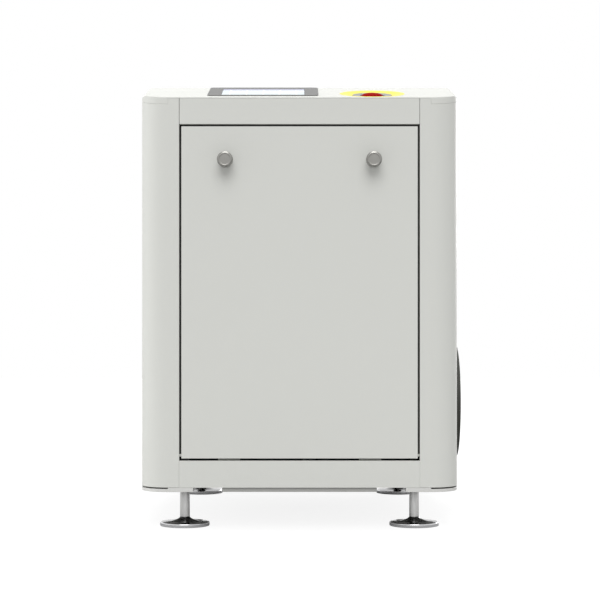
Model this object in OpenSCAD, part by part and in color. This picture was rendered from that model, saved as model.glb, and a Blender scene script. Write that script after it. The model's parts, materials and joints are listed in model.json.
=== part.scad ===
/* [Cabinet] */
// Width over the side walls
cab_w = 570; // [550:5:640]
// Depth over the front and rear walls
cab_d = 720; // [700:5:780]
// Outer radius of the upright corners
corner_r = 50; // [35:1:60]
// Thickness of the cabinet sheet
sheet_t = 2; // [1.5:0.25:2.5]
// Height of the under edge of the shells above the floor
cab_z0 = 76; // [70:1:90]
// Height of the flat top
top_z = 808.5; // [800:0.5:840]
// Drop of the console's front edge below the flat top
console_drop = 35.5; // [10:0.5:40]
// Length of the sloping console, front to back
console_d = 168; // [160:1:190]
// Distance of the corner shells' edges from the middle
seam_x = 215; // [210:1:225]
// Height of the header strip
header_h = 48; // [44:1:60]
// Height of the lower front rail
rail_h = 48; // [44:1:60]
// Outer radius of the bends along the cabinet's top edges
shoulder_r = 10; // [7:0.5:14]
// Depth of the folded lips of the shells
lip_d = 24; // [20:1:30]
// Thickness of the acoustic foam
foam_t = 14; // [8:1:16]

/* [Frame] */
// Outer size of the square frame tube
tube = 30; // [24:1:32]
// Wall of the frame tube
tube_wall = 2.5; // [2:0.5:4]
// Leg of the upright angles
angle_leg = 26; // [20:1:30]
// Thickness of the upright angles
angle_t = 3; // [2:0.5:4]
// Thickness of the four corner plates
plate_t = 8; // [6:0.5:10]
// Length of a corner plate along the front and the side
plate_len = 95; // [85:1:110]

/* [Front panel] */
// Width of the shadow gap round the panel
panel_gap = 4; // [3:0.25:6]
// Depth of the panel's folded edges
panel_d = 18; // [16:1:20]
// Height of the panel's hinge pins above its lower edge
hinge_rise = 5; // [4.5:0.1:5.5]
// Diameter of the panel's hinge pins
hinge_dia = 5; // [4:0.5:5]
// Distance of each knob from the middle
knob_x = 132; // [100:1:150]
// Distance of the knobs below the top of the panel
knob_drop = 61; // [50:1:80]
// Diameter of the knobs
knob_dia = 28; // [24:0.5:32]
// How far the knobs stand off the panel
knob_out = 36; // [28:0.5:40]
// Diameter of the knob spindles
spindle_dia = 8; // [6:0.5:10]

/* [Console] */
// Width of the touch screen's bezel
screen_w = 200; // [180:1:220]
// Height of the bezel along the slope
screen_h = 146; // [130:1:150]
// Distance of the screen's middle from the cabinet's middle
screen_x = -66; // [-80:1:-60]
// Distance of the bezel's near edge up the slope
screen_gap = 21; // [14:1:24]
// Height of the bezel above the console
bezel_h = 1.5; // [1:0.25:3]
// Depth of the screen's case under the console
case_d = 36; // [28:1:40]
// Distance of the emergency stop from the middle
estop_x = 132; // [115:1:150]
// Distance of the emergency stop up the slope
estop_s = 62; // [61:1:75]
// Diameter of the dished yellow ring
ring_dia = 118; // [100:1:120]
// Diameter of the grey collar
collar_dia = 73; // [66:1:80]
// Depth to which the ring and the collar are dished
stop_dish = 3; // [2:0.25:4]
// Diameter of the mushroom head
head_dia = 40; // [36:0.5:44]
// Travel of the mushroom head
estop_travel = 4; // [3:0.5:5]

/* [Feet] */
// Distance of the feet from the middle, sideways
foot_x = 209; // [205:1:225]
// Distance of the feet from the front and rear faces
foot_inset = 73; // [65:1:80]
// Diameter of the foot pads
pad_dia = 90; // [70:1:100]
// Height of a pad's rim
pad_rim_h = 7; // [5:0.5:10]
// Height of a pad's cone above the rim
pad_cone_h = 10; // [8:1:16]
// Diameter of the levelling stems
stem_dia = 17.7; // [15.7:0.5:20]
// Length of a stem above the cabinet's under edge
stem_up = 45; // [40:1:60]

/* [Blower] */
// Distance of the blower axis from the middle
blower_x = -60; // [-80:1:-50]
// Height of the blower axis
axis_z = 305; // [300:1:330]
// Radius of the volute casing
volute_r = 130; // [125:1:135]
// Width of the volute casing along the axis
volute_w = 90; // [88:1:96]
// Diameter of the impeller
impeller_dia = 150; // [130:1:156]
// Number of impeller blades
blades = 14; // [9:1:18]
// Radius of the motor housing
motor_r = 95; // [92:1:100]
// Share of the cabinet's depth that the motor housing takes
motor_share = 0.278; // [0.272:0.001:0.29]
// Radius of the shaft at its journals
journal_r = 28; // [24:0.5:30]
// Radial gap of the running journals
journal_gap = 0.05; // [0.02:0.01:0.08]
// Bore radius of the stator
stator_bore_r = 36; // [34:0.5:38]
// Outer radius of the stator
stator_r = 72; // [68:1:76]
// Share of the motor's length that the stator stack takes
stator_share = 0.5; // [0.42:0.01:0.52]

/* [Discharge] */
// Height of the discharge line above the floor
outlet_z = 212; // [208:1:222]
// Inner radius of the discharge line
pipe_r = 50; // [40:1:54]
// Wall of the discharge line
pipe_wall = 4; // [3:0.5:5]
// Diameter of the discharge flange
flange_dia = 220; // [200:1:230]
// Thickness of the discharge flange
flange_t = 20; // [16:0.5:22]
// How far the flange face stands off the side wall
flange_out = 25; // [24:0.5:30]
// Pitch circle of the flange holes
flange_pcd = 180; // [170:1:184]
// Diameter of the flange holes
flange_hole = 18; // [14:0.5:20]
// Number of flange holes
flange_holes = 8; // [4:1:12]
// Length of the check valve body
valve_len = 42; // [38:1:48]
// Length of the rubber expansion joint
joint_len = 80; // [70:1:84]
// Outer radius of the discharge line's clamped rims
rim_r = 74; // [70:0.5:76]

/* [Intake] */
// Length of the intake hood, front to back
hood_l = 230; // [200:5:250]
// Height of the intake hood
hood_h = 220; // [180:5:240]
// How far the hood stands off the side wall
hood_out = 19; // [16:0.5:24]
// Number of louvre blades in the hood
hood_slats = 8; // [4:1:9]
// Width of the filter box
box_w = 240; // [220:1:250]
// Depth of the filter box
box_d = 180; // [160:1:185]
// Height of the filter box
box_h = 236; // [220:1:240]
// Thickness of the filter cassette
cassette_t = 55; // [40:1:60]

/* [Rear] */
// Diameter of the cooling fan's opening
fan_dia = 220; // [180:1:230]
// Gap between the fan's frame and the top ring above it
fan_gap = 16; // [4:1:26]
// Depth of the fan frame
fan_d = 50; // [40:1:60]
// Number of fan blades
fan_blades = 7; // [5:1:9]
// Gap between the fan's frame and the isolator beside it
isolator_gap = 9; // [4:1:16]
// Height of the isolator handle
isolator_z = 420; // [400:1:440]
// How far the isolator handle stands off the rear panel
isolator_out = 32; // [24:1:36]

/* [Electrics] */
// Gap between the filter box and the mounting plate above it
eplate_gap = 25; // [18:1:30]
// Distance of the plate behind the front face
eplate_y = 190; // [185:1:200]
// Width of the inverter
inverter_w = 150; // [120:1:160]
// Share of the mounting plate's height that the inverter takes
inverter_share = 0.92; // [0.8:0.01:0.95]
// Depth of the inverter
inverter_d = 130; // [110:1:136]

/* [Hidden] */
$fn = 64;

// Overrun of every cut past the face it opens
over = 1;
// Gap between pieces that are bolted or laid together
fit = 0.3;
// Gap between the header strip and its neighbours
seam_gap = 0.6;
// Dark gap between the corner plates and the shells' rounded corners
plate_gap = 2.5;
// Hairline joint of the dressed lower rail
hairline = 0.1;
// Points on each rounded corner of a flat sheet
arc_steps = 18;

front_top_z = top_z - console_drop;
slope_a = atan(console_drop / console_d);
front_y = -cab_d / 2;
rear_y = cab_d / 2;
wall_x = cab_w / 2;
header_z0 = front_top_z - header_h;
rail_z1 = cab_z0 + rail_h;
panel_w = 2 * (seam_x - panel_gap);
panel_z0 = rail_z1 + panel_gap;
panel_z1 = header_z0 - panel_gap;
inner_y = front_y + lip_d;
frame_z1 = cab_z0 + tube;
post_z1 = header_z0 - lip_d;
knob_z = panel_z1 - knob_drop;
hinge_y = front_y + panel_d / 2;
hinge_z = panel_z0 + hinge_rise;
foot_y = cab_d / 2 - foot_inset;
motor_len = cab_d * motor_share;
stator_len = motor_len * stator_share;

// Outline of a rectangle with rounded corners
function rounded_rect(w, d, r) = [
    for (k = [0 : 3], i = [0 : arc_steps])
    let (a = 90 * k + 90 * i / arc_steps,
         cx = (k == 0 || k == 3 ? 1 : -1) * (w / 2 - r),
         cy = (k < 2 ? 1 : -1) * (d / 2 - r))
    [cx + r * cos(a), cy + r * sin(a)]
];

// Puts its children on the console's slope, x sideways and s up the slope
module on_slope(x, s) {
    translate([x, front_y, front_top_z])
    rotate([slope_a, 0, 0])
    translate([0, s, 0])
    children();
}

// Turns its children's own z axis to point to the rear
module to_rear(x, y, z) {
    translate([x, y, z])
    rotate([-90, 0, 0])
    children();
}

// Turns its children's own z axis to point to the right
module to_right(x, y, z) {
    translate([x, y, z])
    rotate([0, 90, 0])
    children();
}

// A box given by its low corner and its high corner
module span(low, high) {
    translate(low)
    cube(high - low);
}

// A ring along its own z axis
module ring(r_out, r_in, h) {
    difference() {
        cylinder(r = r_out, h = h);
        translate([0, 0, -over])
        cylinder(r = r_in, h = h + 2 * over);
    }
}

// Section under a top with rounded edges, measured down from the top
function top_section(reach, r, steps) =
    let (arc = [for (i = [0 : steps]) let (a = 90 * i / steps) [r * cos(a), r * sin(a)]])
    concat(
        [[-reach, -2 * top_z], [reach, -2 * top_z]],
        [for (p = arc) [reach - r + p[0], p[1] - r]],
        [for (i = [steps : -1 : 0]) [r - reach - arc[i][0], arc[i][1] - r]]
    );

// Everything under the flat top and the slope, both lowered by drop, with rounded long edges.
// The slope's bends are tighter and have one step less, so that never four faces meet at one point.
bend_steps = 8;
slope_tighter = 0.6;
module under_top(drop, reach, r) {
    intersection() {
        translate([0, 2 * cab_d, top_z - drop])
        rotate([90, 0, 0])
        linear_extrude(height = 4 * cab_d)
        polygon(top_section(reach, r, bend_steps));
        translate([0, front_y, front_top_z])
        rotate([slope_a, 0, 0])
        translate([0, 2 * cab_d, -drop])
        rotate([90, 0, 0])
        linear_extrude(height = 4 * cab_d)
        polygon(top_section(reach, r - slope_tighter, bend_steps - 1));
    }
}

// Everything under the top cover's inner face
module under_cover() {
    under_top(sheet_t, wall_x - sheet_t, shoulder_r - sheet_t);
}

// Where the shells' edges end: under the cover at the front and the rear, under its rim elsewhere
cover_rim = shoulder_r + 2;
flat_x = wall_x - corner_r;
module shell_space() {
    union() {
        under_top(cover_rim, 2 * wall_x, shoulder_r);
        intersection() {
            span([-flat_x, -cab_d, 0], [flat_x, cab_d, top_z]);
            under_cover();
        }
    }
}

// One quarter of an upright corner
module shell_corner(y_sign) {
    translate([wall_x - corner_r, y_sign * (cab_d / 2 - corner_r), cab_z0])
    rotate([0, 0, y_sign > 0 ? 0 : -90])
    rotate_extrude(angle = 90)
    translate([corner_r - sheet_t, 0])
    square([sheet_t, top_z - cab_z0]);
}

// The sheet of one side wall with both rounded corners and folded lips
module wall_sheet() {
    span([wall_x - sheet_t, front_y + corner_r, cab_z0],
         [wall_x, rear_y - corner_r, top_z]);
    for (y_sign = [-1, 1]) {
        shell_corner(y_sign);
        span([seam_x, y_sign > 0 ? rear_y - sheet_t : front_y, cab_z0],
             [wall_x - corner_r, y_sign > 0 ? rear_y : front_y + sheet_t, top_z]);
        span([seam_x, y_sign > 0 ? rear_y - lip_d : front_y, cab_z0],
             [seam_x + sheet_t, y_sign > 0 ? rear_y : front_y + lip_d, top_z]);
    }
}

// One side wall, ending below the top cover and its rounded edges
module side_wall() {
    difference() {
        intersection() {
            wall_sheet();
            shell_space();
        }
        to_right(seam_x - over, hinge_y, hinge_z)
        cylinder(r = hinge_dia / 2 + journal_gap, h = sheet_t + 2 * over);
    }
}

hood_z = axis_z;
hood_wall_l = hood_l - 2 * lip_d;
hood_wall_h = hood_h - 2 * lip_d;

module left_side_shell() {
    color("gainsboro")
    difference() {
        mirror([1, 0, 0])
        side_wall();
        span([-wall_x - over, -hood_wall_l / 2, hood_z - hood_wall_h / 2],
             [-wall_x + sheet_t + over, hood_wall_l / 2, hood_z + hood_wall_h / 2]);
    }
}

module right_side_shell() {
    color("lightgray")
    difference() {
        side_wall();
        to_right(wall_x - sheet_t - over, 0, outlet_z)
        cylinder(r = pipe_r + 2 * pipe_wall, h = sheet_t + 2 * over);
    }
}

module header_strip() {
    strip_x = seam_x - seam_gap;
    color("lightgray")
    intersection() {
        union() {
            span([-strip_x, front_y, header_z0], [strip_x, front_y + sheet_t, front_top_z]);
            span([-strip_x, front_y, header_z0], [strip_x, inner_y, header_z0 + sheet_t]);
        }
        under_cover();
    }
}

module lower_front_rail() {
    rail_x = seam_x - hairline;
    color("lightgray")
    union() {
        span([-rail_x, front_y, cab_z0], [rail_x, front_y + sheet_t, rail_z1]);
        span([-rail_x, front_y, rail_z1 - sheet_t], [rail_x, front_y + panel_d / 2, rail_z1]);
    }
}

// Slots that let warm air out of the flat top
vent_l = 150;
vent_w = 6;
vent_pitch = 18;
vent_rows = 9;
case_w_share = 0.93;
case_h_share = 0.9;
screen_s = screen_h / 2 + screen_gap;

module top_cover() {
    color("gainsboro")
    difference() {
        intersection() {
            translate([0, 0, cab_z0])
            linear_extrude(height = top_z)
            polygon(rounded_rect(cab_w, cab_d, corner_r));
            under_top(0, wall_x, shoulder_r);
        }
        intersection() {
            linear_extrude(height = 2 * top_z)
            polygon(rounded_rect(cab_w - 2 * sheet_t, cab_d - 2 * sheet_t, corner_r - sheet_t));
            under_cover();
        }
        shell_space();
        for (i = [0 : vent_rows - 1], side = [-1, 1])
            translate([side * vent_l * 0.6, rear_y - corner_r - (i + 1) * vent_pitch, top_z])
            cube([vent_l, vent_w, 4 * sheet_t], center = true);
        on_slope(screen_x, screen_s)
        cube([screen_w * case_w_share, screen_h * case_h_share, 4 * sheet_t], center = true);
        on_slope(estop_x, estop_s)
        translate([0, 0, -2 * sheet_t])
        cylinder(r = ring_dia / 2 - ring_lip + fit, h = 4 * sheet_t);
    }
}

// Louvres of the rear panel
louvre_l = 130;
louvre_h = 8;
louvre_pitch = 22;
louvre_rows = 8;
gland_z = 170;
gland_dia = 24;
gland_pitch = 46;
glands = 4;
rear_z1 = top_z - sheet_t - fit;

module rear_panel() {
    panel_x = seam_x - seam_gap;
    color("lightgray")
    difference() {
        span([-panel_x, rear_y - sheet_t, cab_z0], [panel_x, rear_y, rear_z1]);
        to_rear(0, rear_y - sheet_t - over, fan_z)
        cylinder(r = fan_dia / 2, h = sheet_t + 2 * over);
        for (x = [-fan_screw, fan_screw], z = [-fan_screw, fan_screw])
            to_rear(x, rear_y - sheet_t - over, fan_z + z)
            cylinder(r = guard_wire + fit, h = sheet_t + 2 * over);
        to_rear(isolator_x, rear_y - sheet_t - over, isolator_z)
        cylinder(r = isolator_r / 2, h = sheet_t + 2 * over);
        for (i = [0 : louvre_rows - 1])
            span([-louvre_l, rear_y - sheet_t - over, axis_z - louvre_pitch * i],
                 [0, rear_y + over, axis_z - louvre_pitch * i + louvre_h]);
        for (i = [0 : glands - 1])
            to_rear(gland_x(i), rear_y - sheet_t - over, gland_z)
            cylinder(r = gland_dia / 2, h = sheet_t + 2 * over);
    }
}

function gland_x(i) = seam_x - gland_pitch * (i + 1);

// Square tubes welded into a rectangle with cross members under the blower
frame_x = wall_x - sheet_t - fit - tube / 2;
frame_y = cab_d / 2 - lip_d - fit - tube / 2;
cradle_front_y = volute_w / 2 + motor_len * 0.16;
cradle_rear_y = volute_w / 2 + motor_len * 0.84;

module tube_along_y(x, y0, y1) {
    difference() {
        span([x - tube / 2, y0, cab_z0], [x + tube / 2, y1, frame_z1]);
        span([x - tube / 2 + tube_wall, y0 - over, cab_z0 + tube_wall],
             [x + tube / 2 - tube_wall, y1 + over, frame_z1 - tube_wall]);
    }
}

module tube_along_x(y, x0, x1) {
    difference() {
        span([x0, y - tube / 2, cab_z0], [x1, y + tube / 2, frame_z1]);
        span([x0 + tube_wall, y - tube / 2 + tube_wall, cab_z0 + tube_wall],
             [x1 - tube_wall, y + tube / 2 - tube_wall, frame_z1 - tube_wall]);
    }
}

// Half the length of the side tubes, which stop at the rounded corners
side_tube_y = cab_d / 2 - corner_r;

module base_frame() {
    color("dimgray")
    union() {
        for (side = [-1, 1])
            tube_along_y(side * frame_x, -side_tube_y, side_tube_y);
        for (y = [-frame_y, box_mid_y, cradle_front_y, cradle_rear_y, frame_y])
            tube_along_x(y, -frame_x + tube / 2, frame_x - tube / 2);
    }
}

// Four thick plates that the levelling feet screw into
module corner_plates() {
    color("gainsboro")
    for (x = [-1, 1], y = [-1, 1])
        difference() {
            intersection() {
                translate([0, 0, cab_z0 - plate_t])
                linear_extrude(height = plate_t - fit)
                polygon(rounded_rect(cab_w, cab_d, corner_r));
                translate([x * (wall_x - plate_len / 2), y * (cab_d / 2 - plate_len / 2), cab_z0])
                cube([plate_len, plate_len, 4 * plate_t], center = true);
            }
            translate([x * wall_x, y * cab_d / 2, cab_z0])
            cube([2 * corner_r, 2 * corner_r, 2 * plate_gap], center = true);
            translate([x * foot_x, y * foot_y, cab_z0 - 2 * plate_t])
            cylinder(r = stem_dia / 2 + journal_gap, h = 2 * plate_t);
        }
}

// Sheet that closes the bottom, with a turned-down strip under the door and one at the rear
strip_share = 0.485;
module floor_panel() {
    inset = 4;
    z1 = cab_z0 - fit;
    strip_x = wall_x * strip_share;
    color("darkgray")
    difference() {
        union() {
            span([-wall_x + inset, inner_y, z1 - sheet_t], [wall_x - inset, -inner_y, z1]);
            for (my = [0, 1])
                mirror([0, my, 0]) {
                    span([-strip_x, front_y + inset, z1 - sheet_t], [strip_x, inner_y + over, z1]);
                    span([-strip_x, front_y + inset, cab_z0 - plate_t],
                         [strip_x, front_y + inset + sheet_t, z1]);
                }
        }
        for (x = [-1, 1], y = [-1, 1])
            translate([x * wall_x, y * cab_d / 2, cab_z0])
            cube([2 * (plate_len + fit), 2 * (plate_len + fit), 4 * plate_t], center = true);
    }
}

// Four angle posts with a top ring that the shells are screwed to, and the knobs' receiver plate
post_x = seam_x + sheet_t + fit;
post_y = cab_d / 2 - lip_d - fit;
receiver_y = inner_y + fit;
bush_gap = 1.5;

module post() {
    difference() {
        span([post_x, post_y - angle_leg, frame_z1 + fit], [post_x + angle_leg, post_y, post_z1]);
        span([post_x + angle_t, post_y - angle_leg - over, frame_z1],
             [post_x + angle_leg + over, post_y - angle_t, post_z1 + over]);
    }
}

module upright_frame() {
    color("dimgray")
    union() {
        for (mx = [0, 1], my = [0, 1])
            mirror([mx, 0, 0])
            mirror([0, my, 0])
            post();
        for (side = [-1, 1]) {
            span([side * (post_x + angle_leg / 2) - angle_leg / 2, -post_y, post_z1 - angle_t],
                 [side * (post_x + angle_leg / 2) + angle_leg / 2, post_y, post_z1]);
            span([-post_x, side * (post_y - angle_leg / 2) - angle_leg / 2, post_z1 - angle_t],
                 [post_x, side * (post_y - angle_leg / 2) + angle_leg / 2, post_z1]);
        }
        difference() {
            span([-post_x, receiver_y, knob_z - spindle_dia * 2],
                 [post_x, receiver_y + angle_t, post_z1]);
            for (x = [-knob_x, knob_x])
                to_rear(x, receiver_y - over, knob_z)
                cylinder(r = bush_r + bush_gap, h = angle_t + 2 * over);
        }
    }
}

// Rubber seal that the front panel closes on
seal_t = 5;
seal_w = 8;
// Height that the panel's hooks need under the seal as it tilts
hook_play = 7;
module panel_seal() {
    seal_y = front_y + panel_d + fit;
    x1 = seam_x - panel_gap - seal_w;
    color("#2b2b2b")
    difference() {
        span([-seam_x + fit, seal_y, panel_z0 + hook_play],
             [seam_x - fit, seal_y + seal_t, header_z0 - fit]);
        span([-x1, seal_y - over, panel_z0 + hook_play + seal_w],
             [x1, seal_y + seal_t + over, panel_z1 - seal_w]);
    }
}

// Foam pads glued inside the side walls and under the flat top
module acoustic_foam() {
    pad_x = wall_x - sheet_t - fit;
    pad_y = cab_d / 2 - corner_r - angle_leg;
    pad_z0 = frame_z1 + fit;
    pad_z1 = post_z1 - angle_t - fit;
    top_y = front_y + console_d + lip_d;
    color("#3a3a3a")
    difference() {
        union() {
            for (side = [-1, 1])
                span([side * (pad_x - foam_t / 2) - foam_t / 2, -pad_y, pad_z0],
                     [side * (pad_x - foam_t / 2) + foam_t / 2, pad_y, pad_z1]);
            span([-seam_x, top_y, top_z - sheet_t - fit - foam_t],
                 [seam_x, rear_y - corner_r - (vent_rows + 2) * vent_pitch, top_z - sheet_t - fit]);
        }
        span([-wall_x, -hood_wall_l / 2, hood_z - hood_wall_h / 2],
             [-wall_x + 3 * foam_t, hood_wall_l / 2, hood_z + hood_wall_h / 2]);
        to_right(wall_x - 3 * foam_t, 0, outlet_z)
        cylinder(r = rim_r + pipe_wall, h = 3 * foam_t);
    }
}

// Louvred intake hood on the left side wall, shallower towards its ends
hood_bevel = 5;
bevel_run = 45;
module intake_hood() {
    hood_x = wall_x + hood_out;
    x1 = -wall_x - fit / 2;
    slat_w = hood_out * 0.85;
    slat_pitch = (hood_h - 2 * sheet_t) / hood_slats;
    color("gainsboro")
    union() {
        difference() {
            translate([0, 0, hood_z - hood_h / 2])
            linear_extrude(height = hood_h)
            polygon([
                [x1, -hood_l / 2], [x1, hood_l / 2], [hood_bevel - hood_x, hood_l / 2],
                [-hood_x, hood_l / 2 - bevel_run], [-hood_x, bevel_run - hood_l / 2],
                [hood_bevel - hood_x, -hood_l / 2]
            ]);
            span([-hood_x - over, -hood_l / 2 + sheet_t, hood_z - hood_h / 2 + sheet_t],
                 [-wall_x + over, hood_l / 2 - sheet_t, hood_z + hood_h / 2 - sheet_t]);
        }
        for (i = [0 : hood_slats - 1])
            translate([x1, 0, hood_z - hood_h / 2 + sheet_t + slat_pitch * (i + 0.5)])
            rotate([0, -35, 0])
            translate([-slat_w, -hood_l / 2 + sheet_t / 2, 0])
            cube([slat_w, hood_l - sheet_t, sheet_t]);
    }
}

// Countersunk screws of the rear panel and the hood
screw_r = 5;
module screw_head() {
    difference() {
        cylinder(r1 = screw_r, r2 = screw_r * 0.7, h = screw_r * 0.5);
        translate([0, 0, screw_r * 0.2])
        cylinder(r = screw_r * 0.4, h = screw_r, $fn = 6);
    }
}

module cabinet_screws() {
    rows = 6;
    first_z = cab_z0 + tube / 2;
    row_pitch = (post_z1 - first_z) / (rows - 1);
    color("silver")
    for (side = [-1, 1], i = [0 : rows - 1])
        to_rear(side * (seam_x - lip_d / 2), rear_y + fit / 10, first_z + i * row_pitch)
        screw_head();
}

// Lift-off panel: a shallow tray that tilts out on its lower edge
stiffener_w = 60;
stiffener_d = 10;
pin_reach = panel_gap + sheet_t * 0.8;
hook_w = 40;
hook_drop = 14;
bush_r = 9;
module front_panel() {
    px = panel_w / 2;
    color("lightgray")
    difference() {
        union() {
            difference() {
                span([-px, front_y, panel_z0], [px, front_y + panel_d, panel_z1]);
                span([-px + sheet_t, front_y + sheet_t, panel_z0 + sheet_t],
                     [px - sheet_t, front_y + panel_d + over, panel_z1 - sheet_t]);
            }
            for (side = [-1, 1])
                span([side * px * 0.6 - hook_w / 2, front_y + panel_d - sheet_t, panel_z0 - hook_drop],
                     [side * px * 0.6 + hook_w / 2, front_y + panel_d, panel_z0 + hook_drop]);
            for (z_share = [0.25, 0.55])
                span([-px + sheet_t, front_y + sheet_t, panel_z0 + (panel_z1 - panel_z0) * z_share],
                     [px - sheet_t, front_y + sheet_t + stiffener_d,
                      panel_z0 + (panel_z1 - panel_z0) * z_share + stiffener_w / 4]);
            for (x = [-knob_x, knob_x])
                to_rear(x, front_y + sheet_t / 2, knob_z)
                cylinder(r = bush_r + sheet_t, h = sheet_t * 3);
            for (side = [-1, 1])
                to_right(side * (px + pin_reach / 2) - pin_reach / 2 - sheet_t / 2, hinge_y, hinge_z)
                cylinder(r = hinge_dia / 2, h = pin_reach + sheet_t);
        }
        for (x = [-knob_x, knob_x])
            to_rear(x, front_y - over, knob_z)
            cylinder(r = spindle_dia / 2 + journal_gap, h = panel_d);
    }
}

module panel_foam() {
    px = panel_w / 2 - lip_d;
    band = (panel_z1 - panel_z0) * 0.25;
    y0 = front_y + sheet_t + fit;
    depth = stiffener_d;
    color("#3a3a3a")
    union() {
        span([-px, y0, panel_z0 + lip_d], [px, y0 + depth, panel_z0 + band - fit]);
        span([-px, y0, panel_z0 + band + stiffener_w / 4 + fit],
             [px, y0 + depth, panel_z0 + (panel_z1 - panel_z0) * 0.55 - fit]);
        span([-px, y0, panel_z0 + (panel_z1 - panel_z0) * 0.55 + stiffener_w / 4 + fit],
             [px, y0 + depth, knob_z - bush_r * 2]);
    }
}

// Rubber bushes that swell in the receiver when a knob is turned
bush_y0 = front_y + sheet_t / 2 + sheet_t * 3 + fit;
bush_len = receiver_y + angle_t + 2 - bush_y0;
module latch_bushes() {
    color("#222222")
    for (x = [-knob_x, knob_x])
        to_rear(x, bush_y0, knob_z)
        ring(bush_r, spindle_dia / 2 + journal_gap, bush_len);
}

// Turned metal knob on its spindle, with the plate that squeezes the bush
module knob(x) {
    plate_h = 3;
    neck_r = knob_dia * 0.3;
    neck_h = knob_out * 0.35;
    cap_h = knob_out - neck_h;
    chamfer = cap_h * 0.12;
    color("darkgray")
    union() {
        to_rear(x, front_y - fit / 3, knob_z)
        rotate([180, 0, 0])
        rotate_extrude()
        polygon([
            [0, 0], [neck_r * 1.15, 0], [neck_r * 1.15, chamfer], [neck_r, 2 * chamfer],
            [neck_r, neck_h], [knob_dia / 2 - chamfer, neck_h],
            [knob_dia / 2, neck_h + chamfer], [knob_dia / 2, knob_out - chamfer - fit],
            [knob_dia / 2 - chamfer, knob_out - fit], [0, knob_out - fit]
        ]);
        to_rear(x, front_y - fit, knob_z)
        cylinder(r = spindle_dia / 2, h = bush_y0 + bush_len + plate_h - front_y);
        to_rear(x, bush_y0 + bush_len + fit, knob_z)
        cylinder(r = bush_r - fit, h = plate_h);
    }
}

module left_knob() {
    knob(-knob_x);
}

module right_knob() {
    knob(knob_x);
}

// Moulded case of the touch screen: bezel above the console, box below it
glass_w_share = 0.75;
glass_h_share = 0.76;
glass_nearer = screen_h * 0.07;
glass_t = 2;
module screen_case() {
    bezel_r = 8;
    color("gray")
    on_slope(screen_x, screen_s)
    difference() {
        union() {
            translate([0, 0, fit / 10])
            linear_extrude(height = bezel_h)
            polygon(rounded_rect(screen_w, screen_h, bezel_r));
            translate([0, 0, -case_d / 2])
            cube([screen_w * case_w_share - 2 * fit, screen_h * case_h_share - 2 * fit, case_d + bezel_h],
                 center = true);
        }
        translate([0, -glass_nearer, bezel_h + fit / 10 - glass_t / 2 + over / 2])
        cube([screen_w * glass_w_share, screen_h * glass_h_share, glass_t + over], center = true);
    }
}

module screen_glass() {
    color("white")
    on_slope(screen_x, screen_s)
    translate([0, -glass_nearer, bezel_h - glass_t / 2])
    cube([screen_w * glass_w_share - fit, screen_h * glass_h_share - fit, glass_t - 2 * fit], center = true);
}

// Emergency stop: dished ring in the console, collar, plunger and mushroom head
ring_t = 2.5;
ring_lip = 5;
ring_lip_t = 0.8;
ring_shelf = 4;
collar_r = collar_dia / 2 - 0.5;
collar_in_r = head_dia / 2 + 2.5;
collar_hole_r = 8;
shelf_r = collar_r - ring_shelf;
shelf_s = -stop_dish - 2 * ring_lip_t;
module estop_ring() {
    lip_r = ring_dia / 2 - ring_lip;
    seat = fit / 10;
    color("yellow")
    on_slope(estop_x, estop_s)
    rotate_extrude()
    polygon([
        [lip_r, seat], [ring_dia / 2, seat], [ring_dia / 2, ring_lip_t / 2],
        [ring_dia / 2 - ring_lip_t, ring_lip_t], [lip_r, ring_lip_t], [collar_r, -stop_dish],
        [collar_r, shelf_s], [shelf_r, shelf_s], [shelf_r, shelf_s - ring_t],
        [collar_r, shelf_s - ring_t], [lip_r, -ring_t]
    ]);
}

module estop_collar() {
    dish = stop_dish + estop_travel + 2 * ring_t;
    neck_r = shelf_r - fit;
    color("darkgray")
    on_slope(estop_x, estop_s)
    rotate_extrude()
    polygon([
        [collar_hole_r, -dish], [collar_in_r, -dish], [collar_in_r, -stop_dish - 1.5],
        [collar_in_r + 1, -stop_dish - 1], [collar_r - 1, -stop_dish],
        [collar_r - fit, -stop_dish - ring_lip_t], [collar_r - fit, shelf_s + fit / 10],
        [neck_r, shelf_s + fit / 10], [neck_r, -dish - 4], [collar_hole_r + 8, -dish - 4],
        [collar_hole_r + 8, -case_d], [collar_hole_r, -case_d]
    ]);
}

plunger_r = collar_hole_r - journal_gap;
head_z0 = -stop_dish - estop_travel + fit;
module estop_plunger() {
    color("dimgray")
    on_slope(estop_x, estop_s)
    union() {
        translate([0, 0, -case_d + estop_travel])
        cylinder(r = plunger_r, h = case_d - estop_travel + head_z0 - 1);
        translate([0, 0, head_z0 - 1 - over])
        cylinder(r = plunger_r * 0.6, h = over + 3);
    }
}

module estop_head() {
    head_r = head_dia / 2;
    crown = 6.5;
    color("red")
    on_slope(estop_x, estop_s)
    translate([0, 0, head_z0])
    difference() {
        rotate_extrude()
        polygon(concat(
            [[0, 0], [head_r - 2, 0], [head_r, 2]],
            [for (i = [1 : 8]) let (a = 90 * i / 8) [head_r * cos(a), 2 + crown * sin(a)]]
        ));
        translate([0, 0, -over])
        cylinder(r = plunger_r * 0.6 + journal_gap, h = over + 2.5);
    }
}

// Levelling foot: chromed cone pad with its stem
module foot(x, y) {
    pad_r = pad_dia / 2;
    stem_r = stem_dia / 2;
    cone_r = pad_r * 0.55;
    bead = 1.5;
    color("silver")
    translate([x, y, 0])
    rotate_extrude()
    polygon(concat(
        [[0, 0], [pad_r - bead, 0], [pad_r, bead], [pad_r, pad_rim_h - bead], [pad_r - bead, pad_rim_h]],
        [for (i = [0 : 6]) let (t = i / 6)
            [stem_r + (cone_r - stem_r) * (1 - t) * (1 - t), pad_rim_h + bead / 3 + pad_cone_h * t]],
        [[stem_r, cab_z0 + stem_up - bead], [stem_r - bead, cab_z0 + stem_up], [0, cab_z0 + stem_up]]
    ));
}

module front_left_foot() {
    foot(-foot_x, -foot_y);
}

module front_right_foot() {
    foot(foot_x, -foot_y);
}

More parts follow.
